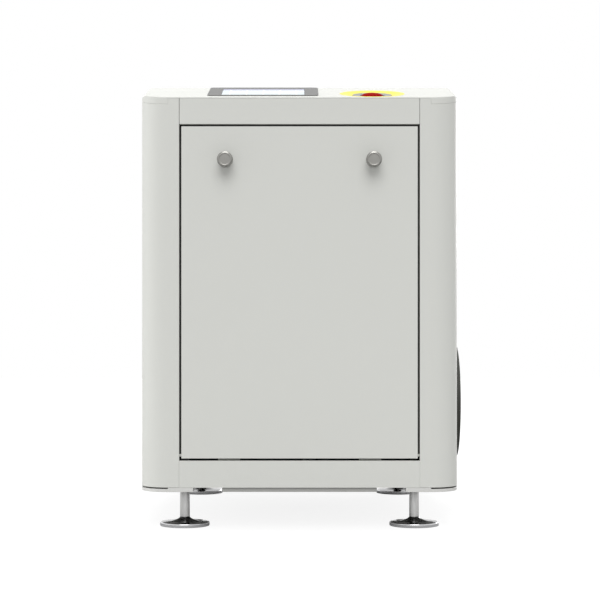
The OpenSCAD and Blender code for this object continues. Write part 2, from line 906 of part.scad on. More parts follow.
module rear_left_foot() {
    foot(-foot_x, foot_y);
}

module rear_right_foot() {
    foot(foot_x, foot_y);
}

module foot_lock_nuts() {
    nut_r = stem_dia * 0.87;
    nut_h = stem_dia * 0.5;
    color("silver")
    for (x = [-foot_x, foot_x], y = [-foot_y, foot_y])
        translate([x, y, cab_z0 + fit])
        difference() {
            cylinder(r = nut_r, h = nut_h, $fn = 6);
            translate([0, 0, -over])
            cylinder(r = stem_dia / 2 + journal_gap, h = nut_h + 2 * over);
        }
}

// Places along the blower axis, counted from the middle of the volute
volute_s1 = volute_w / 2;
motor_s0 = volute_s1 + fit;
motor_s1 = motor_s0 + motor_len;
wall_t = 10;
bearing_len = motor_len * 0.16;
bearing_r = journal_r + 11;
carrier_r = bearing_r + 3;
stator_s0 = (motor_s0 + motor_s1 - stator_len) / 2;
stator_s1 = stator_s0 + stator_len;
coil_len = motor_len * 0.09;
impeller_r = impeller_dia / 2;
tip_gap = 0.8;
eye_r = impeller_r * 0.52;
back_s = volute_s1 - wall_t - 12;
eye_s = back_s - impeller_r * 0.62;

module on_blower(s) {
    to_rear(blower_x, s, axis_z)
    children();
}

// Scroll casing with the impeller chamber, the eye and the outlet branch
throat_r = pipe_r * 0.76;
scroll_r = volute_r - throat_r * 0.62;
outlet_x0 = blower_x + volute_r + 2;
module volute_casing() {
    casing_wall = 8;
    bevel = volute_w * 0.22;
    inner_r = volute_r - casing_wall;
    color("lightslategray")
    difference() {
        union() {
            on_blower(-volute_s1)
            rotate_extrude()
            polygon([
                [0, 0], [volute_r - bevel, 0], [volute_r, bevel], [volute_r, volute_w - bevel],
                [volute_r - bevel, volute_w], [0, volute_w]
            ]);
            to_right(blower_x, 0, outlet_z)
            cylinder(r = throat_r + pipe_wall, h = outlet_x0 - blower_x);
            to_right(outlet_x0 - wall_t, 0, outlet_z)
            cylinder(r = rim_r - pipe_wall, h = wall_t);
        }
        on_blower(-volute_s1)
        rotate_extrude()
        polygon([
            [impeller_r + tip_gap, casing_wall], [inner_r - bevel, casing_wall],
            [inner_r, casing_wall + bevel], [inner_r, volute_w - bevel - casing_wall],
            [inner_r - bevel, volute_w - casing_wall], [impeller_r + tip_gap, volute_w - casing_wall]
        ]);
        on_blower(eye_s - tip_gap)
        cylinder(r = impeller_r + 2 * tip_gap, h = volute_s1 - eye_s + tip_gap + over);
        on_blower(-volute_s1 - over)
        cylinder(r = eye_r + tip_gap, h = volute_w);
        to_right(blower_x, 0, outlet_z)
        cylinder(r = throat_r, h = outlet_x0 - blower_x + over);
    }
}

nozzle_len = 48;
nozzle_flange_r = eye_r + 26;
nozzle_mouth_r = eye_r + 20;
module inlet_nozzle() {
    color("silver")
    on_blower(-volute_s1 - fit - nozzle_len)
    difference() {
        rotate_extrude()
        polygon([
            [eye_r, nozzle_len], [nozzle_flange_r, nozzle_len], [nozzle_flange_r, nozzle_len - 8],
            [eye_r + 8, nozzle_len - 8], [eye_r + 6, nozzle_len * 0.4], [nozzle_mouth_r, 0],
            [eye_r + 14, 0], [eye_r, nozzle_len * 0.4]
        ]);
        for (a = [0 : 60 : 300])
            rotate(a)
            translate([nozzle_flange_r - 8, 0, nozzle_len - 8 - over])
            cylinder(r = 3.5, h = 8 + 2 * over);
    }
}

// Open impeller: a flared hub that carries curved blades
hub_r = journal_r * 0.55;
module impeller() {
    steps = 6;
    blade_t = 2.2;
    span_s = back_s - eye_s;
    disc_t = 5;
    color("silver")
    on_blower(0)
    difference() {
        union() {
            rotate_extrude()
            polygon(concat(
                [[0, eye_s]],
                [for (i = [0 : steps]) let (t = i / steps)
                    [hub_r + (impeller_r - hub_r) * t * t, eye_s + span_s * (1 - (1 - t) * (1 - t) * 0.999)]],
                [[impeller_r, back_s + disc_t], [0, back_s + disc_t]]
            ));
            intersection() {
                for (i = [0 : blades - 1])
                    rotate(i * 360 / blades)
                    translate([impeller_r * 0.52, impeller_r * 0.12, (eye_s + back_s) / 2])
                    rotate([0, 0, 14])
                    cube([impeller_r * 1.1, blade_t, span_s], center = true);
                rotate_extrude()
                polygon([
                    [0, eye_s + over], [eye_r, eye_s + over], [eye_r * 1.06, eye_s + span_s * 0.45],
                    [impeller_r * 0.8, eye_s + span_s * 0.72], [impeller_r, back_s - 8],
                    [impeller_r, back_s + 1], [0, back_s + 1]
                ]);
            }
        }
        translate([0, 0, eye_s - over])
        cylinder(r = hub_r * 0.6, h = span_s + disc_t + 2 * over);
    }
}

// Shaft with journals, magnet sleeve, thrust disc and the impeller's stud
thrust_t = 6;
thrust_step = 14;
thrust_r = carrier_r + thrust_step;
thrust_s = motor_s1 + 12;
module rotor_shaft() {
    stud_r = hub_r * 0.6 - journal_gap / 2;
    magnet_r = stator_bore_r - 1;
    nut_r = hub_r * 0.9;
    color("darkgray")
    union() {
        on_blower(eye_s - 8)
        cylinder(r = stud_r, h = motor_s0 - eye_s);
        on_blower(eye_s - 10)
        cylinder(r = nut_r, h = 10 - fit, $fn = 6);
        on_blower(back_s + 5 + fit)
        cylinder(r = journal_r, h = thrust_s + thrust_t + 8 - back_s - 5);
        on_blower(stator_s0 - 4)
        cylinder(r = magnet_r, h = stator_len + 8);
        on_blower(thrust_s)
        cylinder(r = thrust_r, h = thrust_t);
    }
}

fin_h = 8;
fin_t = 3;
fin_pitch = 11;
module motor_housing() {
    fins = floor(motor_len * 0.42 / fin_pitch);
    fin_s0 = (motor_s0 + motor_s1 - fins * fin_pitch) / 2;
    color("gray")
    difference() {
        union() {
            on_blower(motor_s0)
            cylinder(r = motor_r, h = motor_len);
            on_blower(motor_s0)
            cylinder(r = motor_r + fin_h, h = wall_t);
            for (i = [0 : fins - 1])
                on_blower(fin_s0 + i * fin_pitch)
                cylinder(r = motor_r + fin_h, h = fin_t);
        }
        on_blower(stator_s0 - coil_len - 2)
        cylinder(r = stator_r, h = motor_s1 - stator_s0 + coil_len + 2 + over);
        on_blower(motor_s0 + wall_t)
        cylinder(r = bearing_r, h = motor_len);
        on_blower(motor_s0 - over)
        cylinder(r = journal_r + 1, h = wall_t + 2 * over);
    }
}

module stator_core() {
    slots = 18;
    color("slategray")
    on_blower(stator_s0)
    difference() {
        ring(stator_r - fit / 3, stator_bore_r, stator_len);
        for (i = [0 : slots - 1])
            rotate(i * 360 / slots)
            translate([stator_bore_r + 6, -2, -over])
            cube([16, 4, stator_len + 2 * over]);
    }
}

module stator_windings() {
    coil_r0 = carrier_r + 2;
    coil_r1 = stator_r - 5;
    color("sienna")
    for (s = [stator_s0 - coil_len, stator_s1 + fit])
        on_blower(s)
        rotate_extrude()
        polygon([
            [coil_r0 + 3, 0], [coil_r1 - 3, 0], [coil_r1, 3], [coil_r1, coil_len - 3 - fit],
            [coil_r1 - 3, coil_len - fit], [coil_r0 + 3, coil_len - fit],
            [coil_r0, coil_len - 3 - fit], [coil_r0, 3]
        ]);
}

// Foil journal bearings, one at each end of the rotor
rear_bearing_s = motor_s1 - bearing_len - fit;
module journal_bearings() {
    color("goldenrod")
    for (s = [motor_s0 + wall_t + fit, rear_bearing_s])
        on_blower(s)
        ring(bearing_r - fit / 10, journal_r + journal_gap, bearing_len);
}

// Two foil thrust bearings on either side of the thrust disc
module thrust_bearings() {
    plate_h = 4;
    gap = 0.1;
    color("goldenrod")
    for (s = [thrust_s - gap - plate_h, thrust_s + thrust_t + gap])
        on_blower(s)
        ring(thrust_r + 2, journal_r + 1, plate_h);
}

module motor_end_cover() {
    cover_len = thrust_s + thrust_t + 16 - motor_s1;
    cavity_r = thrust_r + 2 + fit;
    color("gray")
    difference() {
        union() {
            on_blower(motor_s1 + fit)
            cylinder(r = motor_r, h = cover_len);
            on_blower(stator_s1 + coil_len + 4)
            cylinder(r = carrier_r, h = motor_s1 - stator_s1 - coil_len);
        }
        on_blower(motor_s1 + 4)
        cylinder(r = cavity_r, h = cover_len - 8);
        on_blower(rear_bearing_s - fit)
        cylinder(r = bearing_r, h = bearing_len + 2 * fit);
        on_blower(stator_s1)
        cylinder(r = journal_r + 1, h = thrust_s - stator_s1);
    }
}

// Two saddles on a plate, carried on four rubber mounts
mount_h = 24;
mount_r = 15;
cradle_t = 6;
cradle_z0 = frame_z1 + fit + mount_h;
module motor_cradle() {
    saddle_w = motor_r * 1.5;
    saddle_t = 14;
    saddle_z1 = axis_z - motor_r * 0.62;
    color("dimgray")
    difference() {
        union() {
            span([blower_x - saddle_w / 2, cradle_front_y - tube / 2, cradle_z0 + fit],
                 [blower_x + saddle_w / 2, cradle_rear_y + tube / 2, cradle_z0 + fit + cradle_t]);
            for (y = [cradle_front_y, cradle_rear_y])
                span([blower_x - saddle_w / 2, y - saddle_t / 2, cradle_z0 + fit],
                     [blower_x + saddle_w / 2, y + saddle_t / 2, saddle_z1]);
        }
        on_blower(0)
        cylinder(r = motor_r + fit / 10, h = motor_s1 + tube);
        span([blower_x - saddle_w / 4, cradle_front_y + tube / 2, cradle_z0],
             [blower_x + saddle_w / 4, cradle_rear_y - tube / 2, cradle_z0 + 2 * cradle_t]);
    }
}

module rubber_mounts() {
    color("#222222")
    for (x = [-1, 1], y = [cradle_front_y, cradle_rear_y])
        translate([blower_x + x * motor_r * 0.55, y, frame_z1 + fit])
        cylinder(r = mount_r, h = mount_h);
}

// Sheet-metal box that carries the cassette and feeds the nozzle
box_x0 = blower_x - box_w / 2;
box_y1 = -volute_s1 - fit - nozzle_len * 0.6;
box_y0 = box_y1 - box_d;
box_z0 = axis_z - box_h / 2;
box_mid_y = (box_y0 + box_y1) / 2;
module filter_box() {
    box_t = sheet_t;
    leg_w = tube * 0.8;
    color("silver")
    difference() {
        union() {
            span([box_x0, box_y0, box_z0], [box_x0 + box_w, box_y1, box_z0 + box_h]);
            for (x = [box_x0 + tube, box_x0 + box_w - tube - leg_w])
                span([x, box_mid_y - leg_w / 2, frame_z1 + fit],
                     [x + leg_w, box_mid_y + leg_w / 2, box_z0 + box_t / 2]);
        }
        span([box_x0 + box_t, box_y0 + box_t, box_z0 + box_t],
             [box_x0 + box_w - box_t, box_y1 - box_t, box_z0 + box_h - box_t]);
        span([box_x0 - over, box_y0 + 12, box_z0 + 12],
             [box_x0 + 2 * box_t, box_y1 - 12, box_z0 + box_h - 12]);
        on_blower(box_y1 - box_t - over)
        cylinder(r = nozzle_mouth_r + box_t, h = box_t + 2 * over);
    }
}

module filter_cassette() {
    pleats = 13;
    edge = 8;
    x0 = box_x0 + sheet_t + fit;
    y0 = box_y0 + sheet_t + fit;
    y1 = box_y1 - sheet_t - fit;
    z0 = box_z0 + sheet_t + fit;
    z1 = box_z0 + box_h - sheet_t - fit;
    pitch = (y1 - y0 - 2 * edge) / pleats;
    color("whitesmoke")
    union() {
        difference() {
            span([x0, y0, z0], [x0 + cassette_t, y1, z1]);
            span([x0 - over, y0 + edge, z0 + edge], [x0 + cassette_t + over, y1 - edge, z1 - edge]);
        }
        translate([x0, y0 + edge, z0 + edge / 2])
        linear_extrude(height = z1 - z0 - edge)
        polygon(concat(
            [for (i = [0 : 2 * pleats]) [i % 2 == 0 ? edge / 2 : cassette_t - edge, i * pitch / 2]],
            [for (i = [2 * pleats : -1 : 0]) [(i % 2 == 0 ? edge / 2 : cassette_t - edge) + 3, i * pitch / 2]]
        ));
    }
}

// Discharge line, from the volute to the flange outside the right wall
flange_x1 = wall_x + flange_out;
stub_len = 38;
stub_x0 = wall_x - stub_len;
// Bore of the rubber joint and of the valve's outlet, a little wider than the flange's
line_r = pipe_r + 1.5;
joint_x0 = stub_x0 - joint_len - fit;
valve_x0 = joint_x0 - valve_len - fit;
reducer_x0 = outlet_x0 + fit;

module outlet_reducer() {
    len = valve_x0 - fit - reducer_x0;
    rim_t = 9;
    color("silver")
    difference() {
        union() {
            to_right(reducer_x0, 0, outlet_z)
            rotate_extrude()
            polygon([
                [0, 0], [rim_r - pipe_wall, 0], [rim_r - pipe_wall, rim_t], [throat_r + pipe_wall, rim_t],
                [pipe_r + pipe_wall, len - rim_t], [rim_r, len - rim_t], [rim_r, len], [0, len]
            ]);
            translate([bov_x, 0, outlet_z])
            cylinder(r = branch_r + pipe_wall, h = bov_z0 - fit - outlet_z);
        }
        to_right(reducer_x0, 0, outlet_z)
        rotate_extrude()
        polygon([
            [0, -over], [throat_r, -over], [throat_r, 0], [pipe_r, len], [pipe_r, len + over], [0, len + over]
        ]);
        translate([bov_x, 0, outlet_z])
        cylinder(r = branch_r, h = bov_z0 - outlet_z);
    }
}

// Wafer check valve with a flap hinged on two lugs
flap_t = 4;
flap_r = pipe_r * 0.86;
flap_x = valve_x0 + 6;
flap_pin_r = 2.5;
flap_pin_x = flap_x + fit + flap_t + 2.3 * flap_pin_r;
lug_share = 1.5;
flap_pin_z = outlet_z + flap_r;
lug_y = 8;
lug_w = 6;
module check_valve_body() {
    color("slategray")
    difference() {
        union() {
            difference() {
                to_right(valve_x0, 0, outlet_z)
                cylinder(r = rim_r, h = valve_len);
                to_right(valve_x0 - over, 0, outlet_z)
                cylinder(r = pipe_r * 0.78, h = valve_len);
                to_right(flap_x, 0, outlet_z)
                cylinder(r = line_r, h = valve_len);
            }
            for (side = [-1, 1])
                span([flap_pin_x - lug_share * flap_pin_r, side * (lug_y + lug_w / 2) - lug_w / 2,
                      flap_pin_z - lug_share * flap_pin_r],
                     [flap_pin_x + lug_share * flap_pin_r, side * (lug_y + lug_w / 2) + lug_w / 2,
                      outlet_z + line_r + pipe_wall]);
        }
        translate([flap_pin_x, 0, flap_pin_z])
        rotate([90, 0, 0])
        cylinder(r = flap_pin_r + journal_gap, h = 2 * (lug_y + lug_w) + 2 * over, center = true);
    }
}

module check_flap() {
    arm_w = 2 * lug_y - 2;
    color("silver")
    difference() {
        union() {
            to_right(flap_x + fit, 0, outlet_z)
            cylinder(r = flap_r, h = flap_t);
            span([flap_x + fit + flap_t / 2, -arm_w / 2, flap_pin_z - 5 * flap_pin_r],
                 [flap_pin_x, arm_w / 2, flap_pin_z - flap_pin_r / 2]);
            translate([flap_pin_x, 0, flap_pin_z])
            rotate([90, 0, 0])
            cylinder(r = 1.5 * flap_pin_r, h = arm_w, center = true);
            translate([flap_pin_x, 0, flap_pin_z])
            rotate([90, 0, 0])
            cylinder(r = flap_pin_r, h = 2 * (lug_y + lug_w), center = true);
        }
        span([flap_x - over, -flap_r, flap_pin_z + 1.5 * flap_pin_r],
             [flap_pin_x, flap_r, flap_pin_z + flap_r]);
    }
}

// Rubber expansion joint with rounded waves between its rims
module rubber_joint() {
    waves = 3;
    rim_t = 10;
    body_len = joint_len - 2 * rim_t;
    wave_h = 8;
    r0 = line_r + wave_h * 0.8;
    color("#1f1f1f")
    to_right(joint_x0, 0, outlet_z)
    rotate_extrude()
    polygon(concat(
        [[line_r, 0], [rim_r, 0], [rim_r, rim_t]],
        [for (i = [0 : 8 * waves]) let (t = i / (8 * waves))
            [r0 + wave_h * (1 - cos(360 * waves * t)) / 2, rim_t + body_len * t]],
        [[rim_r, joint_len - rim_t], [rim_r, joint_len], [line_r, joint_len]]
    ));
}

module discharge_flange() {
    rim_t = 10;
    x0 = stub_x0 + fit;
    len = flange_x1 - x0;
    color("dimgray")
    difference() {
        to_right(x0, 0, outlet_z)
        rotate_extrude()
        polygon([
            [pipe_r, 0], [rim_r, 0], [rim_r, rim_t], [pipe_r + pipe_wall, rim_t],
            [pipe_r + pipe_wall, len - flange_t], [flange_dia / 2, len - flange_t],
            [flange_dia / 2, len], [pipe_r, len]
        ]);
        for (i = [0 : flange_holes - 1])
            translate([flange_x1 - flange_t - over, 0, outlet_z])
            rotate([(i + 0.5) * 360 / flange_holes, 0, 0])
            translate([0, 0, flange_pcd / 2])
            rotate([0, 90, 0])
            cylinder(r = flange_hole / 2, h = flange_t + 2 * over);
    }
}

// Blow-off valve on the reducer's branch, with its piston and silencer
bov_r = 27;
branch_r = 12;
bov_x = valve_x0 - fit - bov_r * 0.67;
bov_z0 = outlet_z + rim_r + 14;
bov_h = 80;
bov_wall = 4;
piston_travel = 12;
module blowoff_valve() {
    pilot_r = 6;
    color("silver")
    translate([bov_x, 0, bov_z0])
    difference() {
        union() {
            cylinder(r = bov_r, h = bov_h);
            translate([0, 0, bov_h * 0.55])
            rotate([90, 0, 0])
            cylinder(r = pilot_r, h = bov_r + 2 * pilot_r);
        }
        translate([0, 0, bov_wall])
        cylinder(r = bov_r - bov_wall, h = bov_h);
        translate([0, 0, -over])
        cylinder(r = branch_r, h = bov_wall + 2 * over);
        translate([0, 0, bov_h * 0.55])
        rotate([90, 0, 0])
        cylinder(r = pilot_r / 2, h = bov_r + 3 * pilot_r);
    }
}

module blowoff_piston() {
    skirt_h = 22;
    color("goldenrod")
    translate([bov_x, 0, bov_z0 + bov_wall + fit])
    union() {
        cylinder(r = bov_r - bov_wall - journal_gap, h = skirt_h / 2);
        cylinder(r = 5, h = skirt_h);
    }
}

module blowoff_silencer() {
    sil_r = bov_r * 1.15;
    sil_h = 95;
    color("#4a4a4a")
    translate([bov_x, 0, bov_z0 + bov_h + fit])
    difference() {
        union() {
            cylinder(r = sil_r, h = sil_h);
            cylinder(r = bov_r, h = 2 * bov_wall);
        }
        translate([0, 0, -over])
        cylinder(r = bov_r - bov_wall, h = sil_h - 3);
    }
}

// Electrical plate behind the front panel, with its two rails
plate_y = front_y + eplate_y;
din_w = 35;
din_d = 7.5;
din_wall = 1;
din_lip = 5;
din_gap = 10;
plate_x = post_x - fit;
eplate_z = box_z0 + box_h + eplate_gap;
eplate_h = post_z1 - angle_t - eplate_z;
inverter_h = eplate_h * inverter_share;
din_zs = [eplate_z + eplate_h * 0.28, eplate_z + eplate_h * 0.72];
inverter_x0 = -plate_x + angle_t + din_gap;
din_x0 = inverter_x0 + inverter_w + 2 * din_gap;
module mounting_plate() {
    arm_h = 40;
    arm_x = plate_x - angle_t / 2;
    color("silver")
    difference() {
        union() {
            span([-plate_x, plate_y, eplate_z], [plate_x, plate_y + angle_t, eplate_z + eplate_h]);
            for (z = din_zs)
                span([din_x0, plate_y - din_d, z - din_w / 2],
                     [plate_x - angle_t - din_gap, plate_y, z + din_w / 2]);
            for (side = [-1, 1], z = [eplate_z, eplate_z + eplate_h - arm_h])
                span([side * arm_x - angle_t / 2, -post_y + angle_t + fit, z],
                     [side * arm_x + angle_t / 2, plate_y + angle_t, z + arm_h]);
        }
        for (z = din_zs)
            span([din_x0 - over, plate_y - din_d + din_wall, z - din_w / 2 + din_lip],
                 [plate_x - angle_t - din_gap + over, plate_y, z + din_w / 2 - din_lip]);
    }
}

module inverter() {
    x0 = inverter_x0;
    z0 = eplate_z + (eplate_h - inverter_h) / 2;
    fins = 9;
    fin_gap = 3;
    sink_d = inverter_d * 0.4;
    pitch = inverter_w / fins;
    color("#4d5054")
    difference() {
        span([x0, plate_y - fit - inverter_d, z0], [x0 + inverter_w, plate_y - fit, z0 + inverter_h]);
        for (i = [0 : fins - 1])
            span([x0 + i * pitch + fin_gap, plate_y - fit - sink_d + fin_gap, z0 - over],
                 [x0 + (i + 1) * pitch - fin_gap, plate_y - fit - fin_gap, z0 + inverter_h + over]);
    }
}

// Controller modules and terminals clipped on the rails
module controller() {
    modules_top = 5;
    terminals = 12;
    w = 30;
    h = eplate_h * 0.36;
    d = 60;
    x0 = din_x0 + 6;
    term_w = 12;
    y1 = plate_y - din_d - fit;
    color("#d8d8d2")
    union() {
        for (i = [0 : modules_top - 1])
            span([x0 + i * (w + 2), y1 - d, din_zs[1] - h / 2], [x0 + i * (w + 2) + w, y1, din_zs[1] + h / 2]);
        for (i = [0 : terminals - 1])
            span([x0 + i * (term_w + 1), y1 - d / 2, din_zs[0] - h / 4],
                 [x0 + i * (term_w + 1) + term_w, y1, din_zs[0] + h / 4]);
    }
}

// Cooling fan: square frame inside the rear panel, guard rings outside
fan_hub_r = fan_dia * 0.2;
fan_shaft_r = 4;
fan_y1 = rear_y - sheet_t - fit;
fan_y0 = fan_y1 - fan_d;
fan_motor_d = fan_d * 0.3;
fan_frame_w = fan_dia + 24;
fan_screw = fan_frame_w / 2 - 14;
fan_z = post_z1 - angle_t - fan_gap - fan_frame_w / 2;
guard_wire = 3;
module cooling_fan_frame() {
    rings = 4;
    guard_y = rear_y + 10;
    strut = 2 * guard_wire;
    color("#303234")
    difference() {
        union() {
            difference() {
                span([-fan_frame_w / 2, fan_y0, fan_z - fan_frame_w / 2],
                     [fan_frame_w / 2, fan_y1, fan_z + fan_frame_w / 2]);
                to_rear(0, fan_y0 - over, fan_z)
                cylinder(r = fan_dia / 2 - guard_wire, h = fan_d + 2 * over);
            }
            for (a = [0, 90])
                to_rear(0, fan_y0 + strut, fan_z)
                rotate(a)
                cube([fan_dia, strut, strut], center = true);
            to_rear(0, fan_y0 + guard_wire / 2, fan_z)
            cylinder(r = fan_hub_r * 0.9, h = fan_motor_d);
            for (i = [0 : rings - 1])
                to_rear(0, guard_y, fan_z)
                ring(fan_dia / 2 * (1 - i * 0.2) + guard_wire, fan_dia / 2 * (1 - i * 0.2), guard_wire);
            for (a = [45 : 90 : 315])
                to_rear(0, guard_y + guard_wire * 0.1, fan_z)
                rotate(a)
                translate([fan_dia * 0.17, -guard_wire / 2, 0])
                cube([sqrt(2) * fan_screw - fan_dia * 0.17, guard_wire, guard_wire * 0.8]);
            for (x = [-fan_screw, fan_screw], z = [-fan_screw, fan_screw])
                to_rear(x, fan_y1 - strut, fan_z + z)
                cylinder(r = guard_wire, h = guard_y + guard_wire * 1.4 - fan_y1 + strut);
        }
        to_rear(0, fan_y0 - over, fan_z)
        cylinder(r = fan_shaft_r + journal_gap, h = fan_motor_d + 3 * over);
    }
}

module cooling_fan_rotor() {
    blade_t = 3;
    hub_wall = 2;
    blade_len = fan_dia / 2 - 5 - fan_hub_r;
    hub_y = fan_y0 + fan_motor_d + guard_wire;
    hub_len = fan_d * 0.55;
    color("#26282a")
    union() {
        to_rear(0, hub_y, fan_z)
        cylinder(r = fan_hub_r, h = hub_len);
        to_rear(0, fan_y0 + 1, fan_z)
        cylinder(r = fan_shaft_r, h = hub_y - fan_y0);
        for (i = [0 : fan_blades - 1])
            to_rear(0, hub_y + hub_len / 2, fan_z)
            rotate(i * 360 / fan_blades)
            translate([fan_hub_r - hub_wall, 0, 0])
            rotate([32, 0, 0])
            translate([0, -fan_dia * 0.11, -blade_t / 2])
            cube([blade_len, fan_dia * 0.22, blade_t]);
    }
}

// Rotary isolator on the rear panel
isolator_r = 24;
isolator_w = 2.4 * isolator_r;
isolator_x = fan_frame_w / 2 + isolator_gap + isolator_w / 2;
isolator_spindle_r = 6;
isolator_d = 42;
module isolator_body() {
    color("#2c2e30")
    difference() {
        span([isolator_x - isolator_w / 2, fan_y1 - isolator_d, isolator_z - isolator_w / 2],
             [isolator_x + isolator_w / 2, fan_y1, isolator_z + isolator_w / 2]);
        to_rear(isolator_x, fan_y1 - isolator_d * 0.7, isolator_z)
        cylinder(r = isolator_spindle_r + journal_gap, h = isolator_d);
    }
}

module isolator_handle() {
    bar_w = 12;
    rim = 2;
    dial_h = isolator_out * 0.4;
    color("#c01818")
    union() {
        to_rear(isolator_x, rear_y + fit, isolator_z)
        cylinder(r = isolator_r, h = dial_h);
        to_rear(isolator_x, rear_y + fit, isolator_z)
        translate([-bar_w / 2, -isolator_r + rim, 0])
        cube([bar_w, 2 * (isolator_r - rim), isolator_out - fit]);
        to_rear(isolator_x, fan_y1 - isolator_d * 0.7 + fit, isolator_z)
        cylinder(r = isolator_spindle_r, h = isolator_d * 0.7 + sheet_t + fit);
    }
}

// Cable glands, closed with their plugs
module cable_glands() {
    inside = 14;
    nut_h = 9;
    dome_h = 12;
    color("#1c1c1c")
    for (i = [0 : glands - 1])
        to_rear(gland_x(i), rear_y - sheet_t - inside, gland_z)
        union() {
            cylinder(r = gland_dia / 2 - fit, h = inside + sheet_t + nut_h);
            translate([0, 0, inside + sheet_t + fit])
            cylinder(r = gland_dia * 0.62, h = nut_h, $fn = 6);
            translate([0, 0, inside + sheet_t + nut_h])
            cylinder(r1 = gland_dia * 0.5, r2 = gland_dia * 0.36, h = dome_h);
        }
}

base_frame();
corner_plates();
floor_panel();
upright_frame();
left_side_shell();
right_side_shell();
header_strip();
lower_front_rail();
top_cover();
rear_panel();
intake_hood();
panel_seal();
acoustic_foam();
cabinet_screws();
front_panel();
panel_foam();
latch_bushes();
left_knob();
right_knob();
screen_case();
screen_glass();
estop_ring();
estop_collar();
estop_plunger();
estop_head();
front_left_foot();
front_right_foot();
rear_left_foot();
rear_right_foot();
foot_lock_nuts();
volute_casing();
inlet_nozzle();
impeller();
rotor_shaft();
motor_housing();
stator_core();
stator_windings();
journal_bearings();
thrust_bearings();
motor_end_cover();
motor_cradle();
rubber_mounts();
filter_box();
filter_cassette();
outlet_reducer();
check_valve_body();
check_flap();
rubber_joint();
discharge_flange();
blowoff_valve();
blowoff_piston();
blowoff_silencer();
mounting_plate();
inverter();
controller();
cooling_fan_frame();
cooling_fan_rotor();
isolator_body();
isolator_handle();
cable_glands();
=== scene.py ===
import json
import math

import bmesh
import bpy
import numpy as np
from bpy.props import FloatProperty, FloatVectorProperty, IntProperty, PointerProperty
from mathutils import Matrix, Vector


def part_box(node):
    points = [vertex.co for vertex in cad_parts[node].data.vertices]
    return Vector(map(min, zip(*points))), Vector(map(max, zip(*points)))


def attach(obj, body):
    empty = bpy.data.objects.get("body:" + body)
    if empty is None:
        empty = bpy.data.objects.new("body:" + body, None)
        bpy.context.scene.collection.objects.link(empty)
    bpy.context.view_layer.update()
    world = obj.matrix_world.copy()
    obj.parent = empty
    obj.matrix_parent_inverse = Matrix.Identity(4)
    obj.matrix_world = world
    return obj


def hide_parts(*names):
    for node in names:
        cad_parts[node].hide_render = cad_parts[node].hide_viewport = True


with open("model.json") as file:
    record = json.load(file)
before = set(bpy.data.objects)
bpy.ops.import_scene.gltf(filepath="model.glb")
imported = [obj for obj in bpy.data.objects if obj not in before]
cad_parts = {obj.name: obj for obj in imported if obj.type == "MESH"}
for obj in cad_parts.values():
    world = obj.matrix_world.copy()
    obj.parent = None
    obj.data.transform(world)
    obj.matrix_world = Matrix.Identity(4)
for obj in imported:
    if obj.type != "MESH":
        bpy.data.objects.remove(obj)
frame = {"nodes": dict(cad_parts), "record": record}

bl_info = {
    "name": "Aeration blower",
    "version": (1, 0, 0),
    "blender": (4, 5, 0),
    "location": "View3D > Sidebar > Blower",
    "description": "Dresses the packed model of a cabinet-type aeration blower",
    "category": "Object",
}

MM = 0.001
NODES = frame["nodes"]
RECORD = frame["record"]
BODY_OF = {node: body for body, members in RECORD["behaviour"]["bodies"].items()
           for node in members}
SLOT_OF = {part["node"]: part["material_slot"] for part in RECORD["subparts"]}

# Blender's Wave texture has this period at scale 1
WAVE_PERIOD = math.pi / 10

# The sockets that Blender's Mix node uses for colours
MIX_FACTOR, MIX_UNDER, MIX_OVER, MIX_RESULT = 0, 6, 7, 2

WHITE = (1.0, 1.0, 1.0, 1.0)

# A turned or lofted piece stays crisp at edges sharper than this
CRISP_ANGLE = math.radians(40)
# A copy of a CAD node gets a bevel at edges sharper than this
BEVEL_ANGLE = math.radians(30)


# Colours and materials

def tone(code):
    """sRGB hex to linear RGBA, by the standard's two-part curve."""
    value = np.array([int(code[i:i + 2], 16) for i in (1, 3, 5)]) / 255
    linear = np.where(value <= 0.04045, value / 12.92, ((value + 0.055) / 1.055) ** 2.4)
    return (*linear.tolist(), 1.0)


def dimmed(colour, share):
    """The colour with its light cut to that share."""
    return (*[c * share for c in colour[:3]], 1.0)


def add(tree, kind, inputs=(), **settings):
    """Adds one node, sets its settings, and gives each named input its value or its link."""
    made = tree.nodes.new("ShaderNode" + kind)
    for key, value in settings.items():
        setattr(made, key, value)
    for key, value in dict(inputs).items():
        if isinstance(value, bpy.types.NodeSocket):
            tree.links.new(value, made.inputs[key])
        else:
            made.inputs[key].default_value = value
    return made


def surface(name, colour, roughness, metallic=0.0, **more):
    """A new material of one Principled shader, and its tree, shader and Object coordinates."""
    material = bpy.data.materials.new(name)
    material.use_nodes = True
    tree = material.node_tree
    tree.nodes.clear()
    inputs = {"Base Color": colour, "Roughness": roughness, "Metallic": metallic, **more}
    shader = add(tree, "BsdfPrincipled", inputs)
    add(tree, "OutputMaterial", {"Surface": shader.outputs["BSDF"]})
    return material, tree, shader, add(tree, "TexCoord").outputs["Object"]


def layered(tree, colour, *layers):
    """A colour with others laid over it in turn, each as far as its own factor of 0 to 1 says."""
    for factor, over in layers:
        inputs = {MIX_FACTOR: factor, MIX_UNDER: colour, MIX_OVER: over}
        colour = add(tree, "Mix", inputs, data_type="RGBA").outputs[MIX_RESULT]
    return colour


def worked(tree, shader, tint, height, depth):
    """Gives the skin its tint, and raises it by a height pattern of 0 to 1, depth metres deep."""
    bump = add(tree, "Bump", {"Height": height, "Distance": depth, "Strength": 1.0})
    tree.links.new(tint, shader.inputs["Base Color"])
    tree.links.new(bump.outputs["Normal"], shader.inputs["Normal"])


